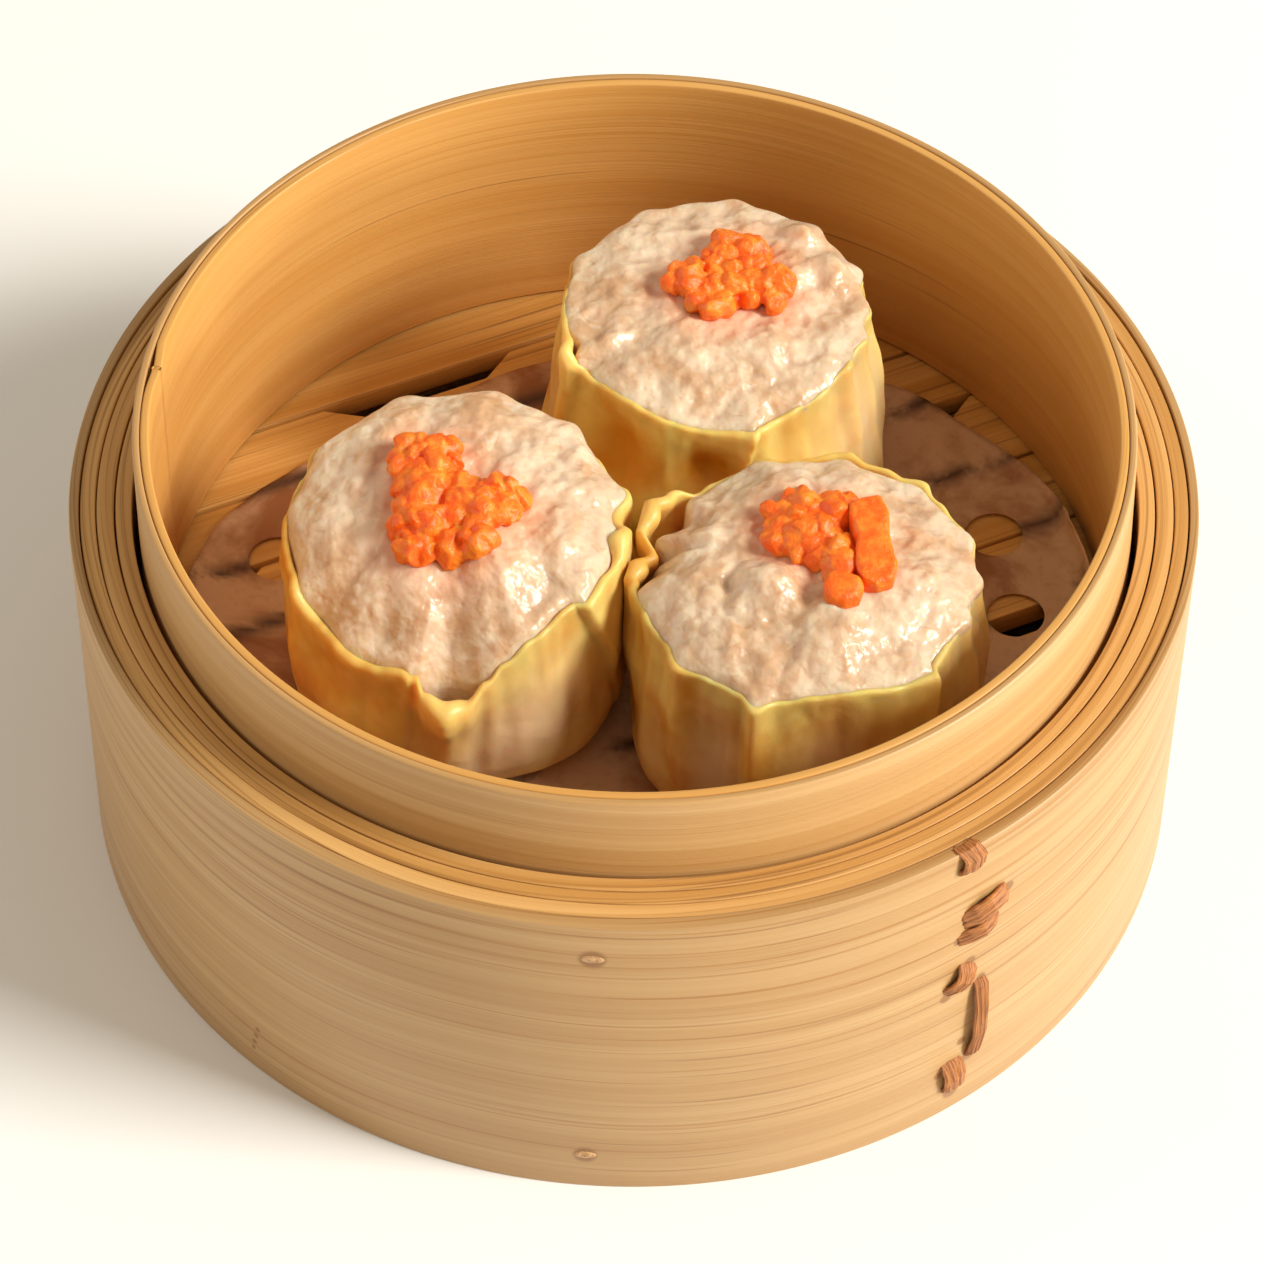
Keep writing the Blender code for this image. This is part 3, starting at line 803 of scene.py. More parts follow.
@dataclass
class Band:
    """A hoop of split bamboo with softened edges.

    The radii at the right, the left and the front differ a little, as in a
    band that is wound by hand; the back follows the sides.
    """

    name: str
    outer: tuple[float, float, float]
    inner: tuple[float, float, float]
    bottom: float
    top: float
    segments: int = 288
    edge: float = 0.16
    wave: float = 0.12
    flare: tuple[float, float, float] = (0.0, 0.0, 0.0)

    def radius(self, sizes: tuple[float, float, float], azimuths: np.ndarray) -> np.ndarray:
        """Return a face's radius at each azimuth.

        Args:
            sizes: the radii at the right, left and front, in millimetres.
            azimuths: where it is read, in degrees.
        Returns:
            The radii in metres.
        """
        right, left, front = sizes
        angle = np.radians(azimuths)
        side = (right + left) / 2 + (right - left) / 2 * np.cos(angle)
        forward = np.clip(-np.sin(angle), 0.0, 1.0) ** 2
        return (side + ((front - (right + left) / 2) * forward)) * MM

    def build(self, seam: Optional["Seam"] = None) -> Piece:
        """Model the band from an open tube.

        Args:
            seam: where the band's two ends meet, if they show.
        Returns:
            The band.
        """
        mean_outer = sum(self.outer) / 3 * MM
        mean_inner = sum(self.inner) / 3 * MM
        height = (self.top - self.bottom) * MM
        Bench.clear()
        bpy.ops.mesh.primitive_cylinder_add(
            vertices=self.segments, radius=mean_outer, depth=height, end_fill_type="NOTHING",
            location=(0.0, 0.0, self.bottom * MM + height / 2))
        band = Bench.newest(self.name)
        Bench.settle(band)
        if seam is not None:
            seam.open(band)
        Bench.apply(band, "SOLIDIFY", thickness=mean_outer - mean_inner, offset=-1.0)
        Bench.soften(band, self.edge, 50.0)
        points = Bench.points(band)
        azimuths, radii = polar(points)
        share = np.clip((radii - mean_inner) / (mean_outer - mean_inner), -0.2, 1.2)
        outer = self.radius(self.outer, azimuths)
        inner = self.radius(self.inner, azimuths)
        fall = np.clip((self.top * MM - points[:, 2]) / (0.3 * height), 0.0, 1.0)
        radii = inner + share * (outer - inner) + self.radius(self.flare, azimuths) * fall
        ring = np.stack([np.cos(np.radians(azimuths)), np.sin(np.radians(azimuths)),
                         np.full(len(points), self.bottom)], axis=1)
        rise = np.clip((points[:, 2] - self.bottom * MM) / height, 0.0, 1.0)
        lift = rough(ring, 0.45, self.outer[0]) * self.wave * MM * rise
        lift -= self.wave * MM * rise
        bent = np.stack([ring[:, 0] * radii, ring[:, 1] * radii, points[:, 2] + lift], axis=1)
        Bench.move(band, bent)
        if seam is not None:
            seam.lift(band, mean_inner)
        return band


@dataclass
class Seam:
    """Where the two ends of a band meet."""

    azimuth: float = 171.2
    lean: float = 1.6
    gap: float = 0.35
    step: float = 0.45
    reach: float = 3.5

    def open(self, band: Piece) -> None:
        """Take out the faces at the seam and draw the two ends together.

        Args:
            band: an open tube whose faces run its whole height.
        """
        Bench.edit(band)
        bpy.ops.mesh.select_all(action="DESELECT")
        Bench.close()
        away = [(abs(turned_from(math.degrees(math.atan2(face.center.y, face.center.x)),
                                 self.azimuth)), face.index) for face in band.data.polygons]
        face = band.data.polygons[min(away)[1]]
        corners = list(face.vertices)
        face.select = True
        bpy.ops.object.mode_set(mode="EDIT")
        bpy.ops.mesh.select_mode(type="FACE")
        bpy.ops.mesh.delete(type="ONLY_FACE")
        Bench.close()
        points = Bench.points(band)
        top = points[:, 2].max()
        for index in corners:
            x, y, z = points[index]
            radius = math.hypot(x, y)
            side = 1.0 if turned_from(math.degrees(math.atan2(y, x)), self.azimuth) > 0 else -1.0
            lean = self.lean if z > top - 0.001 else 0.0
            turn = self.azimuth + lean + side * math.degrees(self.gap * MM / 2 / radius)
            points[index, 0] = radius * math.cos(math.radians(turn))
            points[index, 1] = radius * math.sin(math.radians(turn))
        Bench.move(band, points)

    def lift(self, band: Piece, inner: float) -> None:
        """Let one end of the band spring a little way inward.

        Args:
            band: the finished band.
            inner: its mean inner radius in metres.
        """
        points = Bench.points(band)
        turn = turned_from(polar(points)[0], self.azimuth + self.lean / 2)
        spring = np.where(turn > 0.0, np.exp(-(turn / self.reach) ** 2), 0.0) * self.step * MM
        scale = 1.0 - spring / inner
        points[:, 0] *= scale
        points[:, 1] *= scale
        Bench.move(band, points)


@dataclass
class Basket:
    """The wound wall, the inner hoop and the hoop under the floor."""

    boundaries: tuple[tuple[float, float, float], ...] = (
        (66.0, 66.0, 66.0), (64.8, 64.7, 64.1), (63.1, 62.8, 62.1),
        (60.9, 60.6, 60.2), (59.05, 58.7, 58.4),
    )
    gaps: tuple[float, ...] = (0.16, 0.12, 0.20)
    outer_ply: tuple[float, float] = (57.9, 57.05)
    inner_ply: tuple[float, float] = (56.98, 55.95)
    flare: tuple[float, float, float] = (1.05, 0.2, 0.3)
    lower_inner: float = 55.2

    def build(self) -> None:
        """Model every hoop of the basket and dress it."""
        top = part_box("wall_turn_1")[1][2] / MM
        for index in range(4):
            outer = self.boundaries[index]
            gap = self.gaps[index] if index < 3 else 0.0
            inner = tuple(radius + gap for radius in self.boundaries[index + 1])
            drop = 0.0 if index == 0 else 0.15 + 0.12 * index
            band = Band(f"wall_band_{index + 1}", outer, inner, 0.0, top - drop).build()
            finish = OUTER_BAMBOO if index == 0 else INNER_TURN
            Bench.hand_over(band, finish, "bamboo_wall", f"wall_turn_{index + 1}")
        self.build_hoop()

    def build_hoop(self) -> None:
        """Model the two plies of the standing hoop and the hoop below the floor."""
        low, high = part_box("hoop_outer_ply")
        bottom, top = low[2] / MM, high[2] / MM
        outer, middle = self.outer_ply
        ply = Band("hoop_outer_band", (outer,) * 3, (middle,) * 3, bottom, top, edge=0.25,
                   wave=0.08, flare=self.flare)
        Bench.hand_over(ply.build(), RIM_BAMBOO, "bamboo_hoop", "hoop_outer_ply")
        face, inner = self.inner_ply
        ply = Band("hoop_inner_band", (face,) * 3, (inner,) * 3, bottom, top - 0.05, edge=0.25,
                   wave=0.10, flare=self.flare)
        Bench.hand_over(ply.build(Seam()), HOOP_BAMBOO, "bamboo_hoop", "hoop_inner_ply")
        low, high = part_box("support_hoop")
        ring = Band("lower_hoop", (high[0] / MM,) * 3, (self.lower_inner,) * 3, low[2] / MM,
                    high[2] / MM)
        Bench.hand_over(ring.build(), FLOOR_BAMBOO, "bamboo_floor", "support_hoop")


@dataclass
class Floor:
    """The slats, each a board with softened edges and slotted sides."""

    edge: float = 0.35

    def build(self) -> None:
        """Model every slat after the frame's own and dress it."""
        for name in sorted(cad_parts):
            if not name.startswith("slat_"):
                continue
            slat = Bench.copy(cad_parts[name], name.replace("slat", "floor_board"))
            slat.parent = None
            slat.matrix_world = Matrix.Identity(4)
            Bench.edit(slat)
            bpy.ops.mesh.remove_doubles(threshold=0.00001)
            bpy.ops.mesh.dissolve_limited(angle_limit=math.radians(3.0))
            Bench.close()
            Bench.soften(slat, self.edge, 25.0)
            slat.data.set_sharp_from_angle(angle=math.radians(50.0))
            Bench.hand_over(slat, FLOOR_BAMBOO, "bamboo_floor", name)


@dataclass
class Lacing:
    """The rattan stitches and the two pegs that hold the wall together.

    A stitch is a list of (radius above the wall, azimuth, height), in
    millimetres and degrees, with its width.
    """

    stitches: dict[str, tuple[float, tuple[tuple[float, float, float], ...]]] = field(
        default_factory=lambda: {
            "stitch_rim": (3.0, ((-1.6, -55.7, 48.55), (-0.4, -55.5, 48.6), (0.65, -55.1, 47.4),
                                 (0.55, -55.2, 45.6), (-0.5, -55.5, 44.2))),
            "stitch_upper": (3.6, ((-0.5, -49.9, 37.0), (0.4, -50.7, 37.1), (0.9, -52.6, 37.2),
                                   (0.6, -54.2, 36.2), (-0.4, -55.6, 35.2))),
            "stitch_upper_tail": (2.6, ((-0.4, -51.0, 33.8), (0.5, -52.0, 33.6),
                                        (0.85, -53.4, 33.3), (0.4, -54.7, 32.7),
                                        (-0.4, -56.0, 32.0))),
            "stitch_middle": (2.9, ((-0.5, -54.3, 27.3), (0.35, -54.6, 26.6), (0.8, -55.2, 25.2),
                                    (0.4, -56.0, 23.9), (-0.5, -56.7, 22.8))),
            "stitch_long": (2.0, ((-0.5, -52.6, 23.0), (0.35, -52.7, 22.0), (0.85, -52.8, 18.4),
                                  (0.95, -52.8, 13.6), (0.45, -53.0, 9.8), (-0.5, -53.2, 8.6))),
            "stitch_foot": (3.0, ((-0.5, -55.6, 9.8), (0.35, -55.5, 9.0), (0.8, -55.4, 7.0),
                                  (0.5, -55.2, 4.8), (-0.5, -55.1, 3.4))),
        })
    thickness: float = 0.55
    rows: int = 30
    columns: int = 21
    peg_radius: float = 1.15
    peg_length: float = 1.6
    peg_edge: float = 0.3
    peg_depth: float = 0.72
    peg_stretch: tuple[float, float] = (0.62, 1.25)

    def strip(self, name: str, width: float, path: Sequence[tuple[float, float, float]]) -> Piece:
        """Model one stitch from a flat grid.

        Args:
            name: the stitch's name.
            width: its width in millimetres.
            path: its route.
        Returns:
            The stitch.
        """
        Bench.clear()
        bpy.ops.mesh.primitive_grid_add(x_subdivisions=self.columns, y_subdivisions=self.rows,
                                        size=2.0)
        strip = Bench.newest(name)
        blank = Bench.points(strip)
        across = blank[:, 0]
        fray = rough(np.stack([across, np.full(len(across), len(name) * 0.37),
                               np.sign(blank[:, 1])], axis=1), 0.22)
        along = 0.5 + blank[:, 1] / 2.0 * (1.0 - 0.22 * np.abs(fray))
        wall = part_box("wall_turn_1")[1][0] / MM
        knots = np.array(path)
        stations = np.linspace(0.0, 1.0, len(knots))
        route = np.stack([np.interp(along, stations, knots[:, i]) for i in range(3)], axis=1)
        arc = math.radians(knots[-1, 1] - knots[0, 1]) * wall
        climb = knots[-1, 2] - knots[0, 2]
        length = math.hypot(arc, climb)
        edge = rough(np.stack([along * 3.0, np.sign(across), across * 0.0], axis=1), 0.5)
        offset = across * width / 2 * (1.0 + 0.18 * edge)
        azimuth = route[:, 1] + np.degrees(offset * climb / length / wall)
        height = route[:, 2] - offset * arc / length
        crown = 0.35 * (1.0 - across ** 2)
        ridges = 0.16 * np.abs(np.sin(across * 5.2 + along * 1.7)) + 0.12 * fray
        radius = (wall + route[:, 0] + crown + ridges) * MM
        angle = np.radians(azimuth)
        Bench.move(strip, np.stack([radius * np.cos(angle), radius * np.sin(angle),
                                    height * MM], axis=1))
        Bench.paint(strip, "across", across)
        Bench.paint(strip, "along", along)
        Bench.apply(strip, "SOLIDIFY", thickness=self.thickness * MM, offset=-1.0)
        return strip

    def build(self) -> None:
        """Model the stitches and the pegs and dress them."""
        for name, (width, path) in self.stitches.items():
            strip = self.strip(name.replace("stitch", "lace"), width, path)
            Bench.hand_over(strip, RATTAN, "rattan", name)
        for name in ("peg_upper", "peg_lower"):
            self.build_peg(name)

    def build_peg(self, name: str) -> None:
        """Model a peg's worn head, which sits in the wall.

        Args:
            name: the peg's node.
        """
        low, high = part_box(name)
        middle = (Vector(low) + Vector(high)) / 2
        Bench.clear()
        bpy.ops.mesh.primitive_cylinder_add(vertices=24, radius=self.peg_radius * MM,
                                            depth=self.peg_length * MM)
        peg = Bench.newest(name.replace("peg", "nail"))
        Bench.soften(peg, self.peg_edge, 40.0)
        azimuth = math.atan2(middle.y, middle.x)
        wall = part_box("wall_turn_1")[1][0]
        seat = Matrix.Translation((wall - self.peg_depth * MM, 0.0, middle.z))
        flat = Matrix.Diagonal((*self.peg_stretch, 1.0, 1.0))
        peg.data.transform(Matrix.Rotation(azimuth, 4, "Z") @ seat
                           @ Matrix.Rotation(math.radians(90.0), 4, "Y") @ flat)
        Bench.hand_over(peg, PEG_BAMBOO, "bamboo_peg", name)


@dataclass
class Liner:
    """The punched paper, a circle that lies off centre and stands up at the hoop."""

    centre: tuple[float, float] = (3.6, -11.6)
    radius: float = 58.1
    bend: float = 3.0
    hole_radius: float = 3.5
    holes: tuple[tuple[float, float], ...] = (
        (44.1, 14.3), (46.2, 1.2), (-43.3, 9.2), (-40.0, -27.0), (-6.0, -45.5), (12.0, -47.5),
        (43.0, -25.0),
    )
    seams: tuple[float, ...] = (48.0, 38.0, 27.0, 17.3, 5.2, -6.5, -17.8, -28.5, -39.5, -50.0)
    seam_width: float = 1.1
    slat_azimuth: float = 25.0
    trim: tuple[tuple[float, float], ...] = (
        (80.0, 0.0), (95.0, -0.6), (111.0, -2.5), (126.0, -3.6), (139.0, -1.9), (148.0, -0.9),
        (156.0, 1.1), (165.0, 2.4), (179.0, 1.6),
    )
    thickness: float = 0.16
    segments: int = 240
    rings: int = 64

    def reach(self, azimuths: np.ndarray) -> np.ndarray:
        """Return how far the paper reaches from the basket's axis, in millimetres.

        Args:
            azimuths: directions from the axis, in degrees.
        Returns:
            One distance for each direction.
        """
        angle = np.radians(azimuths)
        along = self.centre[0] * np.cos(angle) + self.centre[1] * np.sin(angle)
        across = self.centre[0] * np.sin(angle) - self.centre[1] * np.cos(angle)
        stations, cuts = np.array(self.trim).T
        cut = np.interp(azimuths, stations, cuts, left=0.0, right=cuts[-1])
        return along + np.sqrt(self.radius ** 2 - across ** 2) + cut

    def build(self) -> None:
        """Model the sheet from a disc, punch it and dress it."""
        Bench.clear()
        bpy.ops.mesh.primitive_circle_add(vertices=self.segments, radius=1.0 / self.rings,
                                          fill_type="TRIFAN")
        paper = Bench.newest("liner_paper")
        Bench.edit(paper)
        bpy.ops.mesh.select_all(action="DESELECT")
        bpy.ops.mesh.select_mode(type="EDGE")
        bpy.ops.mesh.select_non_manifold()
        for ring in range(1, self.rings):
            bpy.ops.mesh.extrude_edges_move()
            grow = (ring + 1) / ring
            bpy.ops.transform.resize(value=(grow, grow, 1.0))
        Bench.close()
        self.bend_up(paper)
        self.punch(paper)
        self.paint_seams(paper)
        Bench.apply(paper, "SOLIDIFY", thickness=self.thickness * MM, offset=1.0)
        Bench.hand_over(paper, PAPER, "liner_paper", "liner")

    def bend_up(self, paper: Piece) -> None:
        """Lay the disc out to the paper's outline and stand its edge up.

        Args:
            paper: a flat disc of unit radius.
        """
        blank = Bench.points(paper)
        azimuths, share = polar(blank)
        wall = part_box("liner")[1][0] / MM
        flat = wall - self.bend
        length = self.reach(azimuths) * share
        quarter = self.bend * math.pi / 2
        angle = np.clip((length - flat) / self.bend, 0.0, math.pi / 2)
        radius = np.minimum(length, flat) + self.bend * np.sin(angle)
        rise = self.bend * (1.0 - np.cos(angle)) + np.maximum(length - flat - quarter, 0.0)
        turn = np.radians(azimuths)
        spots = np.stack([radius * np.cos(turn), radius * np.sin(turn)], axis=1)
        ripple = rough(np.column_stack([spots * MM, np.zeros(len(spots))]), 0.016, 4.0, 2)
        edge = ease(share, 0.80, 1.0)
        lift = np.clip(ripple + 0.2, 0.0, 1.0) * (0.25 + 1.3 * edge)
        radius = np.minimum(radius, wall) - np.where(rise > self.bend, 0.35 * (ripple + 1.0), 0.0)
        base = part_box("liner")[0][2]
        Bench.move(paper, np.stack([radius * np.cos(turn) * MM, radius * np.sin(turn) * MM,
                                    base + (rise + lift) * MM], axis=1))

    def punch(self, paper: Piece) -> None:
        """Cut the round holes.

        Args:
            paper: the bent sheet.
        """
        for x, y in self.holes:
            Bench.clear()
            bpy.ops.mesh.primitive_cylinder_add(
                vertices=40, radius=self.hole_radius * MM, depth=0.02,
                location=(x * MM, y * MM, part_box("liner")[0][2]))
            cutter = Bench.newest("punch")
            Bench.apply(paper, "BOOLEAN", operation="DIFFERENCE", object=cutter, solver="EXACT")
            bpy.data.objects.remove(cutter, do_unlink=True)

    def paint_seams(self, paper: Piece) -> None:
        """Paint shade where the slats' seams lie under the paper.

        Args:
            paper: the punched sheet.
        """
        points = Bench.points(paper) / MM
        turn = math.radians(self.slat_azimuth)
        across = -math.sin(turn) * points[:, 0] + math.cos(turn) * points[:, 1]
        shade = np.zeros(len(points))
        for seam in self.seams:
            shade = np.maximum(shade, np.exp(-((across - seam) / self.seam_width) ** 2))
        Bench.paint(paper, "seam", shade)


# ---------------------------------------------------------------- the dumplings


class Crease(Enum):
    """How the dough is folded."""

    RIDGE = "a soft ridge"
    FLAP_LEFT = "a flap whose edge faces down the azimuths"
    FLAP_RIGHT = "a flap whose edge faces up the azimuths"


@dataclass(frozen=True)
class Fold:
    """A fold down a wrapper's side, in degrees and millimetres."""

    azimuth: float
    width: float
    height: float
    lean: float = 0.0
    crease: Crease = Crease.RIDGE
    foot: float = 0.15

    def relief(self, azimuths: np.ndarray, rise: np.ndarray) -> np.ndarray:
        """Return how far the fold stands out at each point, in millimetres.

        Args:
            azimuths: the points' azimuths.
            rise: 0 at the foot and 1 at the wrapper's edge.
        Returns:
            The relief.
        """
        turn = turned_from(azimuths, self.azimuth + self.lean * (rise - 1.0)) / self.width
        if self.crease is Crease.RIDGE:
            hump = np.where(np.abs(turn) < 1.0, np.cos(turn * math.pi / 2) ** 2, 0.0)
        else:
            turn = turn if self.crease is Crease.FLAP_RIGHT else -turn
            body = np.clip(1.0 + turn / 1.6, 0.0, 1.0) ** 1.5
            hump = np.where(turn < 0.0, body, 1.0 - ease(turn, 0.0, 0.16))
        return self.height * hump * (self.foot + (1.0 - self.foot) * ease(rise, 0.0, 0.9))


@dataclass(frozen=True)
class Spot:
    """A soft dent or swelling in a wrapper or on its meat."""

    azimuth: float
    rise: float
    width: float
    tall: float
    height: float

    def relief(self, azimuths: np.ndarray, rise: np.ndarray) -> np.ndarray:
        """Return the spot's height at each point, in millimetres."""
        turn = turned_from(azimuths, self.azimuth) / self.width
        return self.height * np.exp(-turn ** 2 - ((rise - self.rise) / self.tall) ** 2)


@dataclass(frozen=True)
class Knob:
    """A lump on top of the meat, in millimetres from the dumpling's axis."""

    x: float
    y: float
    size: float
    height: float


@dataclass
class DumplingForm:
    """One dumpling's own sizes, in millimetres and degrees.

    The edge is a list of (azimuth, height, radius) knots; heights are above
    the basket's foot.
    """

    name: str
    centre: tuple[float, float]
    base_radius: float
    waist_radius: float
    edge: tuple[tuple[float, float, float], ...]
    folds: tuple[Fold, ...]
    spots: tuple[Spot, ...]
    # Patches where the meat shows through thin dough; some are painted light on the side turned to
    # the key lamp.
    windows: tuple[Spot, ...]
    knobs: tuple[Knob, ...]
    lips: tuple[tuple[float, float, float], ...]
    pockets: tuple[tuple[float, float, float], ...]
    overflow: tuple[float, float, float]
    crown: float
    crown_centre: tuple[float, float]
    swirl_azimuth: float
    swirl: float
    seed: float
    thickness: float = 1.0

    def edge_at(self, azimuths: np.ndarray, column: int) -> np.ndarray:
        """Return the edge's height or radius, smoothly between its knots.

        Args:
            azimuths: where it is read.
            column: 1 for the height and 2 for the radius.
        Returns:
            The values in millimetres.
        """
        knots = np.array(sorted(self.edge))
        steps = np.concatenate([knots[-1:, 0] - 360.0, knots[:, 0], knots[:1, 0] + 360.0])
        values = np.concatenate([knots[-1:, column], knots[:, column], knots[:1, column]])
        wrapped = turned_from(azimuths, 0.0)
        wrapped = np.where(wrapped < steps[0], wrapped + 360.0, wrapped)
        place = np.clip(np.searchsorted(steps, wrapped, side="right") - 1, 0, len(steps) - 2)
        share = (wrapped - steps[place]) / (steps[place + 1] - steps[place])
        share = share * share * (3.0 - 2.0 * share)
        return values[place] + share * (values[place + 1] - values[place])

    def body_radius(self, azimuths: np.ndarray, rise: np.ndarray) -> np.ndarray:
        """Return the wrapper's radius before it is folded, in millimetres.

        Args:
            azimuths: directions round the dumpling, in degrees.
            rise: share of the wrapper's height, 0 to 1.
        Returns:
            One radius for each direction and rise.
        """
        low = self.base_radius + (self.waist_radius - self.base_radius) * ease(rise, 0.0, 0.6)
        top = self.edge_at(azimuths, 2)
        radius = low + (top - low) * ease(rise, 0.45, 1.0)
        radius -= 3.4 * np.clip(1.0 - rise / 0.13, 0.0, 1.0) ** 2.2
        for spot in self.spots:
            radius = radius + spot.relief(azimuths, rise)
        return radius

    def skin_radius(self, azimuths: np.ndarray, rise: np.ndarray) -> np.ndarray:
        """Return the folded wrapper's outer radius, in millimetres.

        Args:
            azimuths: directions round the dumpling, in degrees.
            rise: share of the wrapper's height, 0 to 1.
        Returns:
            One radius for each direction and rise.
        """
        radius = self.body_radius(azimuths, rise)
        for fold in self.folds:
            radius = radius + fold.relief(azimuths, rise)
        return radius


class Blank:
    """A round of rings that later takes a dumpling's form.

    A blank is unit-sized: a point's distance from the axis is its share of
    the radius, and its height is its rise.
    """

    def __init__(self, name: str, radius: float, height: float, segments: int) -> None:
        """Start with a small disc that closes the blank's foot.

        Args:
            name: the blank's name.
            radius: the disc's radius.
            height: the disc's height.
            segments: points round each ring.
        """
        Bench.clear()
        bpy.ops.mesh.primitive_circle_add(vertices=segments, radius=radius, fill_type="TRIFAN",
                                          location=(0.0, 0.0, height))
        self.piece = Bench.newest(name)
        Bench.settle(self.piece)
        self.radius = radius
        self.height = height
        Bench.edit(self.piece)
        bpy.ops.mesh.select_mode(type="EDGE")
        bpy.ops.mesh.select_all(action="DESELECT")
        bpy.ops.mesh.select_non_manifold()

    def ring(self, radius: float, height: float) -> None:
        """Draw the open edge out to a new radius and height.

        Args:
            radius: the edge's new radius.
            height: the edge's new height.
        """
        bpy.ops.mesh.extrude_edges_move(
            TRANSFORM_OT_translate={"value": (0.0, 0.0, height - self.height)})
        grow = radius / self.radius
        if abs(grow - 1.0) > 1e-6:
            bpy.ops.transform.resize(value=(grow, grow, 1.0))
        self.radius = radius
        self.height = height

    def finish(self, closed: bool) -> Piece:
        """Close the last ring to a point if asked, and turn the faces outward.

        Args:
            closed: whether the top is closed.
        Returns:
            The blank.
        """
        if closed:
            bpy.ops.mesh.merge(type="CENTER")
        bpy.ops.mesh.select_all(action="SELECT")
        bpy.ops.mesh.normals_make_consistent(inside=False)
        Bench.close()
        return self.piece


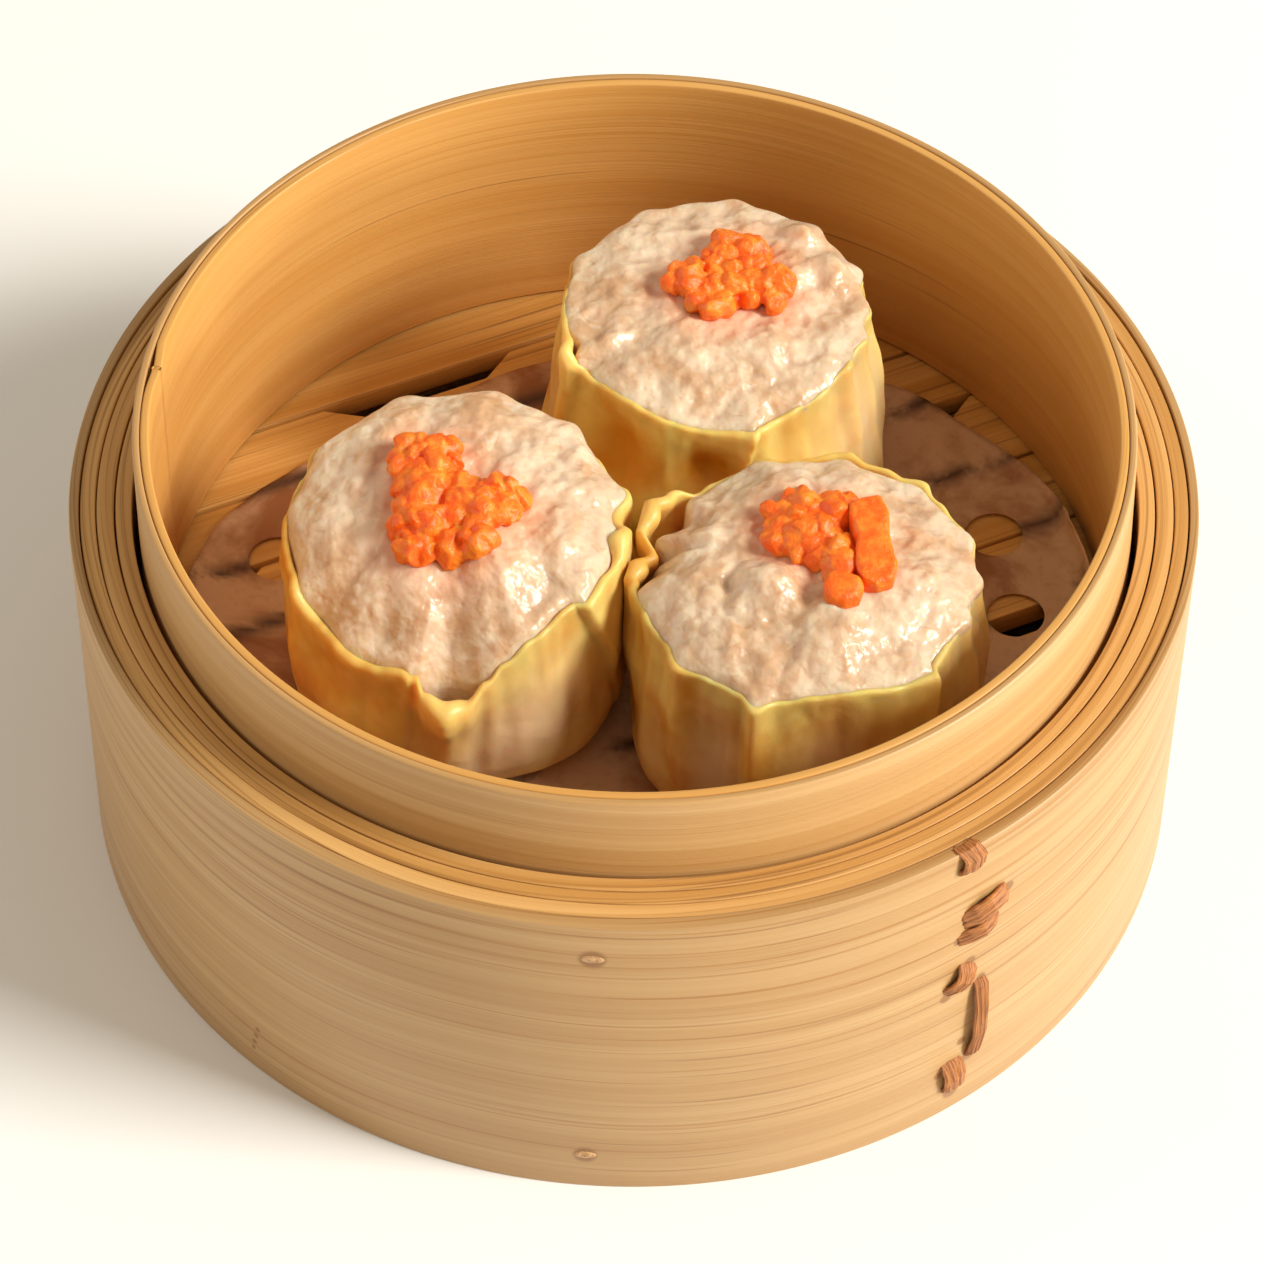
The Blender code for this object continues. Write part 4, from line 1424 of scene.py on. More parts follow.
@dataclass
class DumplingMaker:
    """Shapes wrappers and fillings from two blanks that all dumplings share."""

    segments: int = 288
    wall_rows: int = 48
    lip_rows: int = 6
    inner_rows: int = 14
    dome_rows: int = 72
    plug_rows: int = 12
    foot_rise: float = 0.045
    ply: float = 0.05
    ruffle: float = 0.22
    edge_ruffle: float = 0.35
    pleat: float = 0.50
    dent: float = 1.0
    lump: float = 1.25
    curl: float = 0.50
    furrow: float = 0.26
    grain: float = 0.30
    wobble: float = 0.45
    ruffle_width: float = 0.14
    pleat_width: float = 0.17
    dent_width: float = 0.42
    lump_width: float = 0.0066
    curl_width: float = 0.0026
    furrow_width: float = 0.0042
    grain_width: float = 0.0013
    knob_width: float = 0.003
    wobble_width: float = 0.004
    thinning: float = 0.22
    fold_growth: float = 0.40
    lip_drop: float = 0.25
    dome_spread: float = 1100.0
    juice_reach: float = 2.4

    def __post_init__(self) -> None:
        """Model the two blanks."""
        cup = Blank("cup_blank", 0.12, 0.0, self.segments)
        for share in (0.4, 0.7, 0.9, 1.0):
            cup.ring(share, 0.0)
        for row in range(1, self.wall_rows + 1):
            cup.ring(1.0, row / self.wall_rows)
        for step in range(1, self.lip_rows + 1):
            turn = math.pi * step / self.lip_rows
            cup.ring(1.0 - self.ply * (1.0 - math.cos(turn)) / 2, 1.0 + self.ply * math.sin(turn))
        for row in range(1, self.inner_rows + 1):
            cup.ring(1.0 - self.ply, 1.0 - (1.0 - self.foot_rise) * (row / self.inner_rows) ** 1.6)
        for share in (0.7, 0.4, 0.12):
            cup.ring(share, self.foot_rise)
        self.cup = cup.finish(closed=True)
        plug = Blank("plug_blank", 0.3, self.foot_rise, self.segments)
        plug.ring(0.7, self.foot_rise)
        plug.ring(1.0, self.foot_rise)
        for row in range(1, self.plug_rows + 1):
            plug.ring(1.0, self.foot_rise + (1.0 - self.foot_rise) * row / self.plug_rows)
        for row in range(1, self.dome_rows):
            plug.ring(1.0 - row / self.dome_rows, 1.0 + row / self.dome_rows)
        self.plug = plug.finish(closed=True)

    def discard_blanks(self) -> None:
        """Take the blanks off the bench."""
        for blank in (self.cup, self.plug):
            bpy.data.objects.remove(blank, do_unlink=True)

    def neighbours_limit(self, form: DumplingForm, others: Sequence[DumplingForm],
                         azimuths: np.ndarray, inset: float) -> np.ndarray:
        """Return the radius at which a dumpling is pressed flat by the others.

        Args:
            form: the dumpling.
            others: all dumplings.
            azimuths: where it is read.
            inset: how far inside the pressed face, in millimetres.
        Returns:
            The largest radius in millimetres.
        """
        limit = np.full(len(azimuths), 1000.0)
        for other in others:
            if other is form:
                continue
            dx, dy = other.centre[0] - form.centre[0], other.centre[1] - form.centre[1]
            share = form.base_radius / (form.base_radius + other.base_radius)
            reach = math.hypot(dx, dy) * share - 0.08 - inset
            away = np.cos(np.radians(azimuths) - math.atan2(dy, dx))
            limit = np.where(away > 0.35, np.minimum(limit, reach / np.maximum(away, 0.35)), limit)
        return limit

    def wrapper(self, form: DumplingForm, others: Sequence[DumplingForm]) -> Piece:
        """Shape and dress one wrapper.

        Args:
            form: the dumpling.
            others: all dumplings, which press on each other.
        Returns:
            The wrapper.
        """
        piece = Bench.copy(self.cup, form.name + "_dough")
        blank = Bench.points(piece)
        azimuths, share = polar(blank)
        rise = np.clip(blank[:, 2], 0.0, 1.0)
        angle = np.radians(azimuths)
        outer = form.skin_radius(azimuths, rise)
        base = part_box(form.name + "_wrapper")[0][2] / MM
        top = form.edge_at(azimuths, 1)
        ruffle = rough(np.stack([np.cos(angle), np.sin(angle), rise], axis=1),
                       self.ruffle_width, form.seed, 2)
        outer += self.ruffle * ruffle * ease(rise, 0.3, 1.0)
        pleats = rough(np.stack([np.cos(angle), np.sin(angle), rise * 0.22], axis=1),
                       self.pleat_width, form.seed + 20.0, 2)
        dents = rough(np.stack([np.cos(angle), np.sin(angle), rise * 1.3], axis=1),
                      self.dent_width, form.seed + 30.0)
        wrinkles = self.pleat * pleats * ease(rise, 0.0, 0.35)
        wrinkles += self.dent * dents * ease(rise, 0.0, 0.2)
        outer += wrinkles * (1.0 - 0.6 * ease(rise, 0.75, 1.0))
        outer = np.minimum(outer, self.neighbours_limit(form, others, azimuths, 0.0))
        middle, width, drop = form.overflow
        top = top + self.edge_ruffle * ruffle
        top -= drop * bell(azimuths, middle, width, 4)
        folded = sum(np.maximum(fold.relief(azimuths, rise), 0.0) for fold in form.folds)
        depth = np.clip((1.0 - share) / self.ply, 0.0, 1.0)
        ply = form.thickness * (1.0 - self.thinning * ease(rise, 0.55, 1.0)
                                + self.fold_growth * np.clip(folded, 0.0, 1.4))
        for middle, width, extra in form.lips:
            ply = ply + extra * bell(azimuths, middle, width) * ease(rise, 0.86, 1.0)
        radius = (outer - depth * ply) * np.minimum(1.0, share / (1.0 - self.ply))
        crest = np.clip(blank[:, 2] - 1.0, 0.0, 1.0) / self.ply * ply / 2
        height = base + rise * (top - base) + crest
        Bench.move(piece, np.stack([
            (form.centre[0] + radius * np.cos(angle)) * MM,
            (form.centre[1] + radius * np.sin(angle)) * MM, height * MM], axis=1))
        # Painted shade: dents and inward wrinkles are painted darker.
        hollow_shade = sum(np.maximum(-spot.relief(azimuths, rise), 0.0) for spot in form.spots)
        # Meat seen through thin dough, and in part painted light on the lit side.
        press = sum(window.relief(azimuths, rise) for window in form.windows)
        # Painted light: the side turned to the key lamp and the outward wrinkles are painted
        # paler; the rim and the folds are paler too.
        lit = 0.10 + 0.42 * np.cos(np.radians(azimuths + 15.0))
        pale = np.clip(ease(rise, 0.94, 1.0) * 0.35 + folded * 0.4 + pleats * 0.3 + lit, 0.0, 1.0)
        Bench.paint(piece, "pale", pale)
        Bench.paint(piece, "hollow_shade", np.clip(hollow_shade * 0.6 - pleats * 0.35 - dents * 0.3, 0.0, 1.0))
        Bench.paint(piece, "press", np.clip(press - folded * 0.3, 0.0, 1.0))
        Bench.hand_over(piece, DOUGH, "dough", form.name + "_wrapper")
        return piece

    def filling(self, form: DumplingForm, others: Sequence[DumplingForm],
                stains: Sequence[tuple[float, float, float]]) -> Piece:
        """Shape and dress one filling, down to the wrapper's bottom.

        Args:
            form: the dumpling.
            others: all dumplings.
            stains: (x, y, size) of the carrot that colours the meat, in millimetres.
        Returns:
            The filling.
        """
        piece = Bench.copy(self.plug, form.name + "_pork")
        blank = Bench.points(piece)
        azimuths, share = polar(blank)
        level = blank[:, 2]
        rise = np.clip(level, 0.0, 1.0)
        angle = np.radians(azimuths)
        inset = form.thickness + 0.1
        side = form.body_radius(azimuths, rise) - inset
        full = form.skin_radius(azimuths, rise) - 0.42 * form.thickness
        full = np.minimum(full, form.waist_radius + 0.1)
        side += (full - side) * ease(rise, 0.72, 0.95)
        side = np.minimum(side, self.neighbours_limit(form, others, azimuths, 0.5))
        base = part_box(form.name + "_wrapper")[0][2] / MM
        top = form.edge_at(azimuths, 1)
        on_dome = level > 1.0
        stand_back = np.zeros(len(azimuths))
        for middle, width, amount in form.pockets:
            stand_back += amount * bell(azimuths, middle, width)
        side -= stand_back * ease(rise, 0.75, 0.97)
        spill = bell(azimuths, form.overflow[0], form.overflow[1], 4)
        swell = 1.0 + (0.014 + 0.026 * spill) * np.exp(-((0.95 - share) / 0.05) ** 2)
        radius = np.where(on_dome, side * share ** 0.9 * swell, side * share)
        x = form.centre[0] + radius * np.cos(angle)
        y = form.centre[1] + radius * np.sin(angle)
        mean_top = float(np.mean(form.edge_at(np.arange(-180.0, 180.0, 10.0), 1)))
        crown_x = form.centre[0] + form.crown_centre[0]
        crown_y = form.centre[1] + form.crown_centre[1]
        slope = 1.0 - ((x - crown_x) ** 2 + (y - crown_y) ** 2) / self.dome_spread
        round_off = np.clip(1.0 - share ** 3.2, 0.0, 1.0) ** 0.52
        top_z = top - self.lip_drop - 0.5 * stand_back * share ** 6
        top_z += (form.crown - mean_top) * np.clip(slope, 0.0, 1.0) * round_off
        top_z += (mean_top - top) * (1.0 - share ** 2.0)
        height = np.where(on_dome, top_z,
                          base + rise * (top - self.lip_drop - 0.5 * stand_back - base))
        spots = np.stack([x, y, height], axis=1) * MM
        turn = math.radians(form.swirl_azimuth)
        along = spots[:, 0] * math.cos(turn) + spots[:, 1] * math.sin(turn)
        across = -spots[:, 0] * math.sin(turn) + spots[:, 1] * math.cos(turn)
        drawn = np.stack([along * (1.0 - form.swirl), across, spots[:, 2] * 0.6], axis=1)
        cover = ease(1.0 - share, 0.0, 0.16) * on_dome
        lumps = rough(spots, self.lump_width, form.seed)
        curls = rough(drawn, self.curl_width, form.seed + 2.0)
        creases = 1.0 - np.abs(rough(drawn, self.furrow_width, form.seed + 5.0)) * 2.0
        grains = rough(spots, self.grain_width, form.seed + 9.0)
        sunk = np.clip(creases, 0.0, 1.0)
        relief = self.lump * lumps + self.curl * curls - self.furrow * sunk + self.grain * grains
        for knob in form.knobs:
            away = np.hypot(x - form.centre[0] - knob.x, y - form.centre[1] - knob.y) / knob.size
            away *= 1.0 + 0.25 * rough(spots, self.knob_width, form.seed + 15.0)
            relief += knob.height * (np.exp(-away ** 2.8)
                                     - 0.22 * np.exp(-((away - 1.5) / 0.4) ** 2))
        spots[:, 2] += relief * cover * MM
        wobble = self.wobble * rough(spots, self.wobble_width, form.seed + 12.0)
        wobble *= on_dome * ease(share, 0.7, 0.95)
        spots[:, 0] += wobble * np.cos(angle) * MM
        spots[:, 1] += wobble * np.sin(angle) * MM
        Bench.move(piece, spots)
        stain = np.zeros(len(x))
        for sx, sy, size in stains:
            away = np.hypot(x - sx, y - sy) / (size + self.juice_reach)
            stain = np.maximum(stain, np.exp(-away ** 3.0))
        Bench.paint(piece, "stain", stain)
        # Painted shade in the meat's deep creases.
        Bench.paint(piece, "sunk", sunk ** 3 * np.clip(0.6 - curls, 0.0, 1.0) * cover)
        Bench.hand_over(piece, PORK, "meat", form.name + "_filling")
        return piece


@dataclass
class CarrotHeap:
    """Minced carrot heaped on a dumpling: lobes of (x, y, size) in millimetres."""

    name: str
    node: str
    lobes: tuple[tuple[float, float, float], ...]
    height: float
    seed: int
    patterns: int = 4
    density: float = 1.1
    spread: float = 0.82
    narrow: float = 1.2
    wide: float = 2.1
    cuts: int = 7
    cut_near: float = 0.60
    cut_far: float = 0.88
    cut_depth: float = 0.9
    bump_width: float = 0.55
    bump_height: float = 0.10

    def crumb(self, index: int, chance: np.random.Generator) -> Piece:
        """Model one crumb: a ball that is cut flat on a few sides.

        Args:
            index: the crumb's number.
            chance: the seeded source of chance.
        Returns:
            The crumb, about 2 mm wide.
        """
        Bench.clear()
        bpy.ops.mesh.primitive_ico_sphere_add(subdivisions=4, radius=1.0)
        crumb = Bench.newest(f"{self.name}_crumb_{index}")
        points = Bench.points(crumb)
        for _ in range(self.cuts):
            face = chance.normal(size=3)
            face /= np.linalg.norm(face)
            depth = chance.uniform(self.cut_near, self.cut_far)
            over = points @ face - depth
            points -= np.outer(np.maximum(over, 0.0) * self.cut_depth, face)
        bump = rough(points, self.bump_width, index + self.seed, 2)
        points *= (1.0 + self.bump_height * bump)[:, None]
        Bench.move(crumb, points)
        return crumb

    def build(self, ground: Piece) -> None:
        """Heap the crumbs on the meat and dress them.

        Args:
            ground: the filling that carries the heap.
        """
        chance = np.random.default_rng(self.seed)
        tree = BVHTree.FromPolygons([vertex.co for vertex in ground.data.vertices],
                                    [face.vertices for face in ground.data.polygons])
        patterns = [self.crumb(index, chance) for index in range(self.patterns)]
        crumbs = []
        for x, y, size in self.lobes:
            count = max(4, int(size * size * self.density))
            for index in range(count):
                away = size * self.spread * math.sqrt((index + 0.5) / count)
                turn = index * GOLDEN_TURN + chance.uniform(-0.4, 0.4)
                spot = (x + away * math.cos(turn), y + away * math.sin(turn))
                hit = tree.ray_cast(Vector((spot[0] * MM, spot[1] * MM, 0.1)),
                                    Vector((0.0, 0.0, -1.0)))[0]
                if hit is None:
                    continue
                heaped = self.height * (1.0 - (away / size) ** 2) * min(1.0, size / 3.5)
                level = hit.z / MM + 0.2 + heaped * chance.uniform(0.35, 1.0)
                width = chance.uniform(self.narrow, self.wide)
                pattern = patterns[int(chance.integers(self.patterns))]
                crumb = Bench.copy(pattern, f"{self.name}_bit")
                angle = chance.uniform(0, math.tau)
                turned = Matrix.Rotation(angle, 4, Vector(chance.normal(size=3)))
                sides = chance.uniform(0.75, 1.25, size=3) * width * MM
                stretch = Matrix.Diagonal((*sides, 1.0))
                place = Matrix.Translation((spot[0] * MM, spot[1] * MM, level * MM))
                crumb.data.transform(place @ turned @ stretch)
                crumbs.append(crumb)
        heap = Bench.join(crumbs, self.name)
        for pattern in patterns:
            bpy.data.objects.remove(pattern, do_unlink=True)
        Bench.apply(heap, "REMESH", mode="VOXEL", voxel_size=CARROT_VOXEL * MM)
        points = Bench.points(heap)
        normals = np.empty(len(points) * 3)
        heap.data.vertices.foreach_get("normal", normals)
        grain = rough(points, 0.0009, self.seed) * 0.07 * MM
        Bench.move(heap, points + normals.reshape(-1, 3) * grain[:, None])
        Bench.hand_over(heap, CARROT, "carrot", self.node)


@dataclass
class CarrotChunk:
    """A larger piece of carrot: an outline cut with a knife, in millimetres."""

    name: str
    node: str
    outline: tuple[tuple[float, float], ...]
    top: float
    depth: float
    ridge: float
    bend: float
    softness: float

    def build(self) -> None:
        """Model the chunk from its outline, round its edges and dress it."""
        Bench.clear()
        bpy.ops.mesh.primitive_circle_add(vertices=len(self.outline), radius=0.003,
                                          fill_type="NGON")
        chunk = Bench.newest(self.name)
        Bench.move(chunk, np.array([(x * MM, y * MM, self.top * MM) for x, y in self.outline]))
        Bench.edit(chunk)
        bpy.ops.mesh.extrude_region_move(
            TRANSFORM_OT_translate={"value": (0.0, 0.0, -self.depth * MM)})
        bpy.ops.mesh.select_all(action="SELECT")
        bpy.ops.mesh.normals_make_consistent(inside=False)
        Bench.close()
        Bench.soften(chunk, self.softness, 50.0, 4)
        Bench.apply(chunk, "REMESH", mode="VOXEL", voxel_size=CARROT_VOXEL * MM)
        points = Bench.points(chunk)
        points[:, 2] -= np.abs(points[:, 1] - self.ridge * MM) * self.bend
        points += 0.20 * MM * rough(points, 0.0024, 3.0, 2)[:, None]
        Bench.move(chunk, points)
        Bench.hand_over(chunk, CARROT, "carrot", self.node)


LEFT = DumplingForm(
    name="dumpling_left", centre=(-20.5, -9.2), base_radius=19.6, waist_radius=20.6,
    edge=(
        (179, 50.9, 20.0), (-160, 49.4, 20.0), (-140, 46.8, 20.2), (-119, 46.0, 20.8),
        (-107, 46.6, 20.2), (-102, 46.2, 20.8), (-98, 45.2, 23.2), (-92, 44.7, 24.2),
        (-86, 45.0, 23.6), (-79, 46.8, 21.4), (-73, 48.3, 20.2), (-62, 50.2, 19.5),
        (-46, 51.4, 19.2), (-30, 52.0, 19.4),
        (-19, 52.0, 20.2), (-9, 52.5, 20.6), (0, 52.0, 19.5), (12, 52.3, 19.7),
        (24, 52.4, 19.0), (45, 52.9, 18.6), (75, 53.4, 18.4), (105, 53.4, 18.2),
        (135, 52.8, 18.6), (160, 51.6, 19.2),
    ),
    folds=(
        Fold(-104.0, 9.0, 0.5, 4.0, Crease.FLAP_RIGHT), Fold(-92.0, 9.0, 0.9),
        Fold(-40.0, 16.0, 1.5, -24.0, Crease.FLAP_LEFT),
        Fold(-12.0, 9.0, 1.0, -14.0), Fold(10.0, 8.0, 0.9), Fold(-152.0, 10.0, 0.7, 6.0),
        Fold(-128.0, 11.0, 0.6, 4.0), Fold(44.0, 10.0, 0.9), Fold(76.0, 11.0, 1.0, 6.0),
        Fold(112.0, 11.0, 0.9, -5.0), Fold(148.0, 10.0, 0.8),
    ),
    spots=(
        Spot(-68.0, 0.45, 22.0, 0.26, 1.1), Spot(-96.0, 0.62, 9.0, 0.16, -1.2),
        Spot(-122.0, 0.75, 14.0, 0.14, -0.6), Spot(-80.0, 0.12, 20.0, 0.10, -0.8),
        Spot(-50.0, 0.20, 12.0, 0.12, 0.5),
    ),
    windows=(
        Spot(-68.0, 0.50, 26.0, 0.34, 0.95), Spot(-95.0, 0.22, 16.0, 0.16, 0.8),
        Spot(-160.0, 0.4, 20.0, 0.3, 0.3),
    ),
    knobs=(Knob(5.0, -9.0, 4.0, 0.9), Knob(-6.0, 3.0, 4.2, 0.6), Knob(11.0, -4.5, 3.2, 0.7),
           Knob(-3.0, -12.5, 3.6, 0.6)),
    lips=((-92.0, 8.0, 2.1), (-12.0, 6.0, 1.4), (1.0, 6.0, 1.2), (-130.0, 34.0, 0.60)),
    pockets=((-92.0, 10.0, 1.8), (-130.0, 34.0, 0.9), (-11.0, 14.0, 1.4), (-45.0, 18.0, 0.5)),
    overflow=(85.0, 65.0, 1.2),
    crown=56.6, crown_centre=(1.0, 2.0), swirl_azimuth=55.0, swirl=0.62, seed=1.0,
)
BACK = DumplingForm(
    name="dumpling_back", centre=(9.4, 22.5), base_radius=21.3, waist_radius=20.0,
    edge=(
        (-169, 55.4, 18.5), (-160, 55.6, 18.8), (-154, 55.6, 19.6), (-147, 53.6, 18.6),
        (-138, 53.6, 18.3), (-124, 53.5, 18.1), (-109, 53.0, 18.1), (-90, 52.4, 18.2),
        (-81, 52.5, 18.5), (-74, 53.0, 19.3), (-66, 52.7, 18.3), (-52, 53.2, 18.1),
        (-26, 54.4, 18.1), (-5, 54.8, 18.1), (20, 54.9, 18.1), (60, 55.0, 17.9),
        (100, 55.0, 17.9), (140, 54.9, 18.0), (170, 55.0, 18.2),
    ),
    folds=(
        Fold(-150.0, 10.0, 0.9, 6.0, Crease.FLAP_RIGHT),
        Fold(-76.0, 13.0, 1.3, 16.0, Crease.FLAP_RIGHT),
        Fold(-30.0, 7.0, 0.6), Fold(-14.0, 7.0, 0.9, 2.0), Fold(2.0, 7.0, 0.7),
        Fold(20.0, 8.0, 0.9), Fold(48.0, 10.0, 1.0, 4.0), Fold(82.0, 10.0, 0.9),
        Fold(118.0, 11.0, 1.0, -5.0), Fold(155.0, 10.0, 0.9),
    ),
    spots=(
        Spot(-128.0, 0.72, 12.0, 0.16, -1.7), Spot(-92.0, 0.76, 9.0, 0.11, -2.2),
        Spot(-103.0, 0.50, 12.0, 0.13, 1.7), Spot(-80.0, 0.44, 9.0, 0.11, 1.6),
        Spot(-140.0, 0.30, 16.0, 0.25, 0.6), Spot(-91.0, 0.36, 6.0, 0.10, -1.2),
    ),
    windows=(
        # The first patch is painted light on the side turned to the key lamp; the second is thin
        # dough over the meat.
        Spot(-20.0, 0.6, 30.0, 0.50, 0.7), Spot(-76.0, 0.36, 9.0, 0.12, 0.6),
        Spot(-165.0, 0.4, 12.0, 0.4, 0.4),
    ),
    knobs=(Knob(11.5, 12.5, 2.6, 1.5), Knob(14.5, 6.0, 2.6, 1.4), Knob(-3.0, -8.0, 4.5, 0.5)),
    lips=((-155.0, 7.0, 0.8), (-74.0, 9.0, 0.3)),
    pockets=((-156.0, 9.0, 1.6), (-74.0, 10.0, 0.6), (-112.0, 22.0, 0.3)),
    overflow=(75.0, 85.0, 1.4),
    crown=57.0, crown_centre=(-0.5, 1.0), swirl_azimuth=40.0, swirl=0.35, seed=2.0,
)
RIGHT = DumplingForm(
    name="dumpling_right", centre=(20.2, -18.0), base_radius=20.2, waist_radius=20.4,
    edge=(
        (159, 51.8, 21.2), (150, 52.2, 22.0), (142, 52.0, 20.8), (130, 50.8, 19.4),
        (165, 50.2, 19.2), (173, 50.4, 21.6), (-179, 50.8, 21.0), (-168, 51.2, 19.8),
        (-150, 50.9, 19.2), (-141, 51.0, 19.6), (-123, 51.3, 18.9), (-110, 51.4, 19.6),
        (-104, 51.4, 19.0), (-91, 51.9, 18.3), (-74, 52.4, 18.6), (-58, 52.3, 19.4),
        (-47, 52.3, 19.6), (-34, 52.8, 18.9), (-10, 53.2, 18.9), (14, 53.2, 18.9),
        (40, 53.4, 18.5), (70, 53.4, 18.2), (100, 52.8, 18.2),
    ),
    folds=(
        Fold(-108.0, 7.0, 1.5, 2.0), Fold(-46.0, 10.0, 1.4, 0.0, Crease.FLAP_RIGHT),
        Fold(-140.0, 10.0, 0.8, -4.0), Fold(-22.0, 7.0, 0.8), Fold(-4.0, 7.0, 0.9),
        Fold(16.0, 8.0, 0.8), Fold(46.0, 9.0, 0.9), Fold(78.0, 10.0, 1.0, 4.0),
        Fold(108.0, 10.0, 0.8), Fold(152.0, 6.0, 1.1), Fold(173.0, 7.0, 1.2),
    ),
    spots=(
        Spot(-80.0, 0.62, 17.0, 0.30, -1.4), Spot(-124.0, 0.55, 10.0, 0.30, -0.7),
        Spot(-150.0, 0.25, 16.0, 0.25, 0.6), Spot(-95.0, 0.2, 12.0, 0.2, 0.5),
    ),
    windows=(
        Spot(-82.0, 0.45, 14.0, 0.30, 0.9), Spot(-124.0, 0.45, 11.0, 0.40, 0.9),
        # Painted light: a creamy patch on the side turned to the key lamp.
        Spot(-14.0, 0.6, 30.0, 0.50, 0.6),
        Spot(-150.0, 0.35, 10.0, 0.30, 0.4),
    ),
    knobs=(Knob(-5.0, -4.2, 3.1, 2.5), Knob(3.0, -10.0, 3.6, 0.7), Knob(11.0, -6.0, 4.0, 0.5)),
    lips=((150.0, 9.0, 1.3), (172.0, 8.0, 1.3), (-46.0, 10.0, 0.3)),
    pockets=((149.0, 11.0, 3.6), (173.0, 9.0, 2.6), (75.0, 40.0, 0.6), (-46.0, 12.0, 0.3)),
    overflow=(0.0, 30.0, 0.3),
    crown=56.8, crown_centre=(0.0, 1.5), swirl_azimuth=70.0, swirl=0.3, seed=3.0,
)
FORMS = (LEFT, BACK, RIGHT)
HEAPS = {
    "dumpling_left": CarrotHeap("minced_carrot_left", "carrot_left", (
        (-23.6, -5.0, 4.2), (-15.4, -10.8, 3.3), (-24.2, -14.8, 3.6), (-19.4, -16.6, 3.0),
        (-21.0, -10.2, 4.6), (-24.4, -9.8, 3.2), (-17.8, -13.2, 3.0)), 2.0, 11),
    "dumpling_back": CarrotHeap("minced_carrot_back", "carrot_back", (
        (12.1, 28.2, 4.2), (5.9, 24.4, 2.5), (8.9, 21.4, 2.6), (15.1, 23.8, 3.3),
        (11.5, 25.0, 3.2)), 2.2, 12),
    "dumpling_right": CarrotHeap("minced_carrot_right", "carrot_right", (
        (16.3, -12.3, 2.0), (18.7, -10.7, 1.9), (21.2, -12.0, 2.4), (17.8, -14.8, 2.3),
        (20.2, -15.7, 2.9), (22.7, -18.1, 2.6), (23.6, -19.9, 1.6), (19.6, -13.4, 2.6),
        (23.3, -11.2, 1.3)), 1.9, 13),
}
CHUNKS = (
    CarrotChunk("cut_carrot_long", "carrot_chunk_long", (
        (24.6, -14.8), (24.3, -12.6), (25.9, -11.4), (28.1, -10.8), (28.9, -12.9),
        (29.0, -16.3), (29.8, -20.9), (29.3, -23.2), (27.5, -23.8), (25.8, -23.4),
        (25.0, -20.9), (25.3, -17.3)), 59.5, 2.8, -14.6, 0.12, 0.5),
    CarrotChunk("cut_carrot_short", "carrot_chunk_short", (
        (21.9, -22.1), (23.8, -21.5), (25.3, -22.7), (26.0, -24.2), (25.5, -25.7),
        (23.9, -26.6), (21.9, -26.1), (21.3, -24.3)), 58.7, 2.6, -23.6, 0.16, 0.8),
)


# ---------------------------------------------------------------- the studio


@dataclass(frozen=True)
class Lamp:
    """A square light that faces the basket: degrees, metres, watts and a colour."""

    name: str
    azimuth: float
    elevation: float
    away: float
    size: float
    power: float
    color: Color

    def hang(self) -> None:
        """Hang the lamp and turn it to the basket."""
        turn, tilt = math.radians(self.azimuth), math.radians(self.elevation)
        ray = Vector((math.cos(tilt) * math.cos(turn), math.cos(tilt) * math.sin(turn),
                      math.sin(tilt)))
        lamp = bpy.data.lights.new(self.name, "AREA")
        lamp.size = self.size
        lamp.energy = self.power
        lamp.color = self.color
        holder = bpy.data.objects.new(self.name, lamp)
        bpy.context.scene.collection.objects.link(holder)
        holder.location = Vector((0.0, 0.0, 0.03)) + ray * self.away
        holder.rotation_euler = ray.to_track_quat("Z", "Y").to_euler()


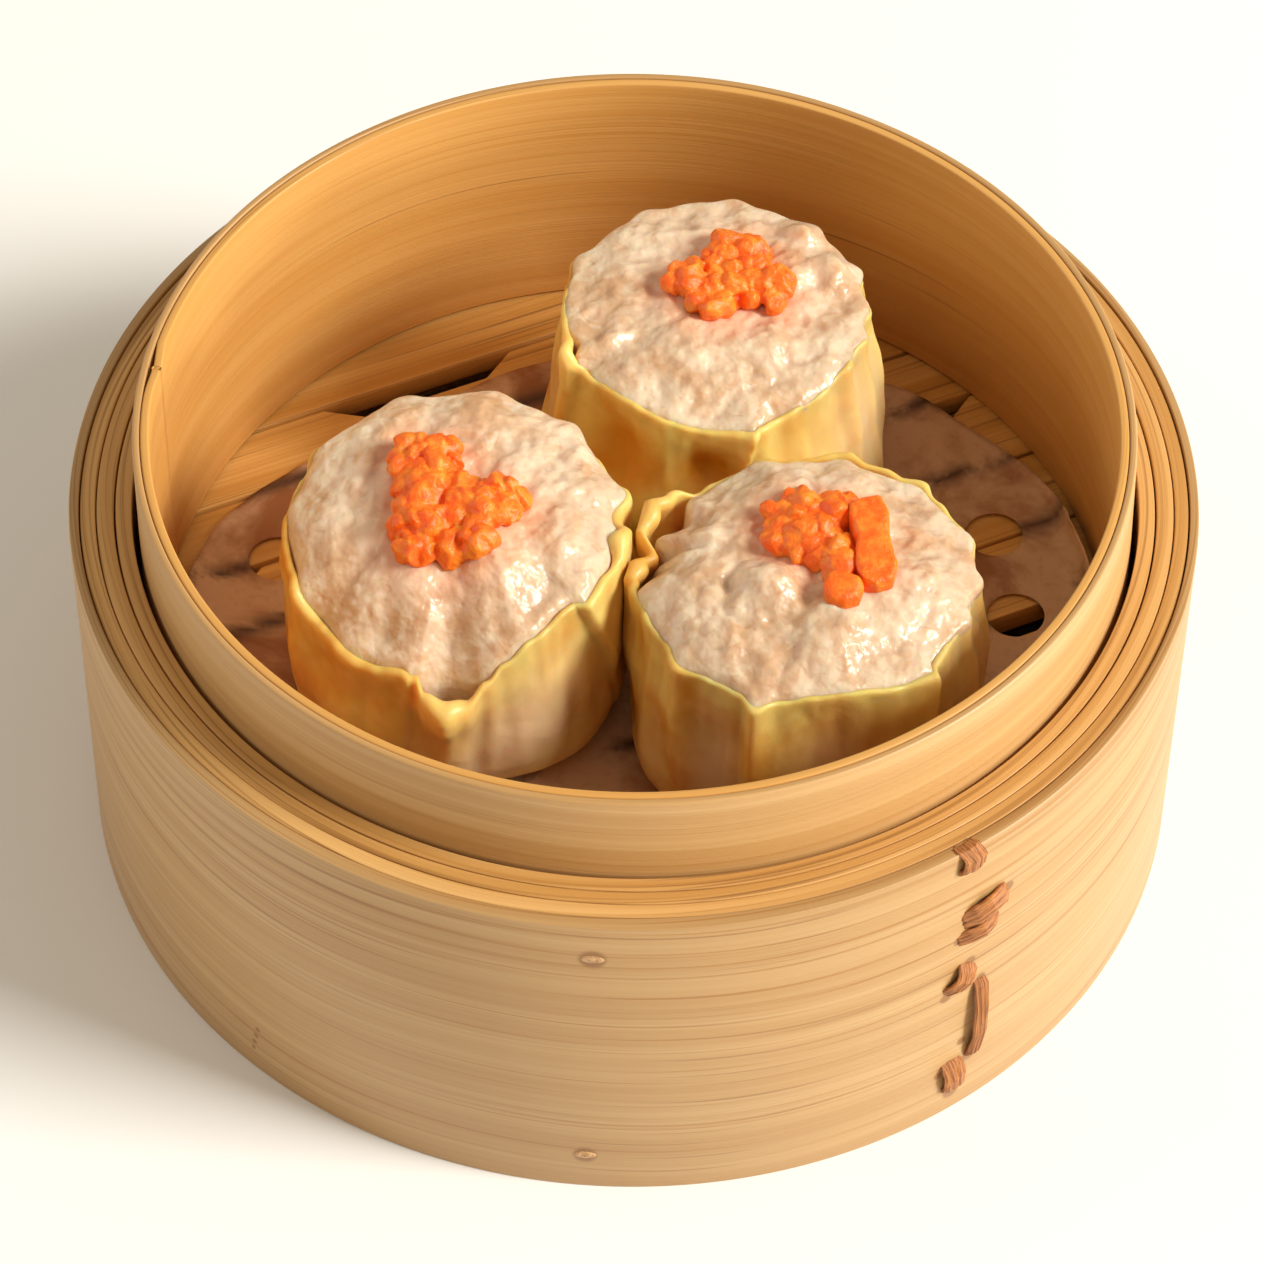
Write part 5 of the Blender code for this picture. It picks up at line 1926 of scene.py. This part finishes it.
@dataclass
class Studio:
    """A pale table, a warm key light, two low fills and the camera."""

    elevation: float = 48.87
    distance: float = 0.6556
    target: tuple[float, float, float] = (-0.00007, 0.01927, 0.0)
    lens: float = 147.6
    roll: float = 0.6
    sensor: float = 36.0
    sky: Color = (1.0, 0.88, 0.70)
    sky_strength: float = 0.46
    lamps: tuple[Lamp, ...] = (
        Lamp("key", -17.0, 38.0, 2.5, 0.8, 76.0, (1.0, 0.965, 0.90)),
        Lamp("left_fill", 172.0, 9.0, 2.0, 1.4, 13.0, (1.0, 0.98, 0.94)),
        Lamp("right_fill", -18.0, 3.5, 2.0, 0.4, 26.0, (0.90, 0.97, 1.0)),
    )

    def build(self) -> None:
        """Set up the table, the lights and the camera."""
        self.build_table()
        for lamp in self.lamps:
            lamp.hang()
        world = bpy.data.worlds.new("studio")
        bpy.context.scene.world = world
        world.use_nodes = True
        shade = world.node_tree.nodes["Background"]
        shade.inputs["Color"].default_value = (*self.sky, 1.0)
        shade.inputs["Strength"].default_value = self.sky_strength
        self.build_camera()
        bpy.context.scene.view_settings.view_transform = "Standard"

    def build_table(self) -> None:
        """Lay a wide table under the basket."""
        Bench.clear()
        bpy.ops.mesh.primitive_plane_add(size=8.0)
        table = Bench.newest("table")
        table.data.materials.append(BACKDROP.material())

    def build_camera(self) -> None:
        """Place the camera and level it to the view's small roll."""
        tilt = math.radians(self.elevation)
        back = Vector((0.0, -math.cos(tilt), math.sin(tilt)))
        lens = bpy.data.cameras.new("camera")
        lens.lens = self.lens
        lens.sensor_width = self.sensor
        lens.clip_start = 0.01
        camera = bpy.data.objects.new("camera", lens)
        bpy.context.scene.collection.objects.link(camera)
        camera.location = Vector(self.target) + back * self.distance
        level = back.to_track_quat("Z", "Y").to_matrix()
        roll = Matrix.Rotation(math.radians(self.roll), 3, "Z")
        camera.rotation_euler = (level @ roll).to_euler()
        bpy.context.scene.camera = camera


def main() -> None:
    """Build the basket, the liner and the dumplings, then light them."""
    logging.basicConfig(level=logging.INFO, format="%(message)s")
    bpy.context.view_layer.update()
    Basket().build()
    Floor().build()
    Lacing().build()
    Liner().build()
    maker = DumplingMaker()
    for form in FORMS:
        maker.wrapper(form, FORMS)
        meat = maker.filling(form, FORMS, HEAPS[form.name].lobes)
        HEAPS[form.name].build(meat)
        if form is RIGHT:
            for chunk in CHUNKS:
                chunk.build()
    maker.discard_blanks()
    Studio().build()


if __name__ == "__main__":
    main()
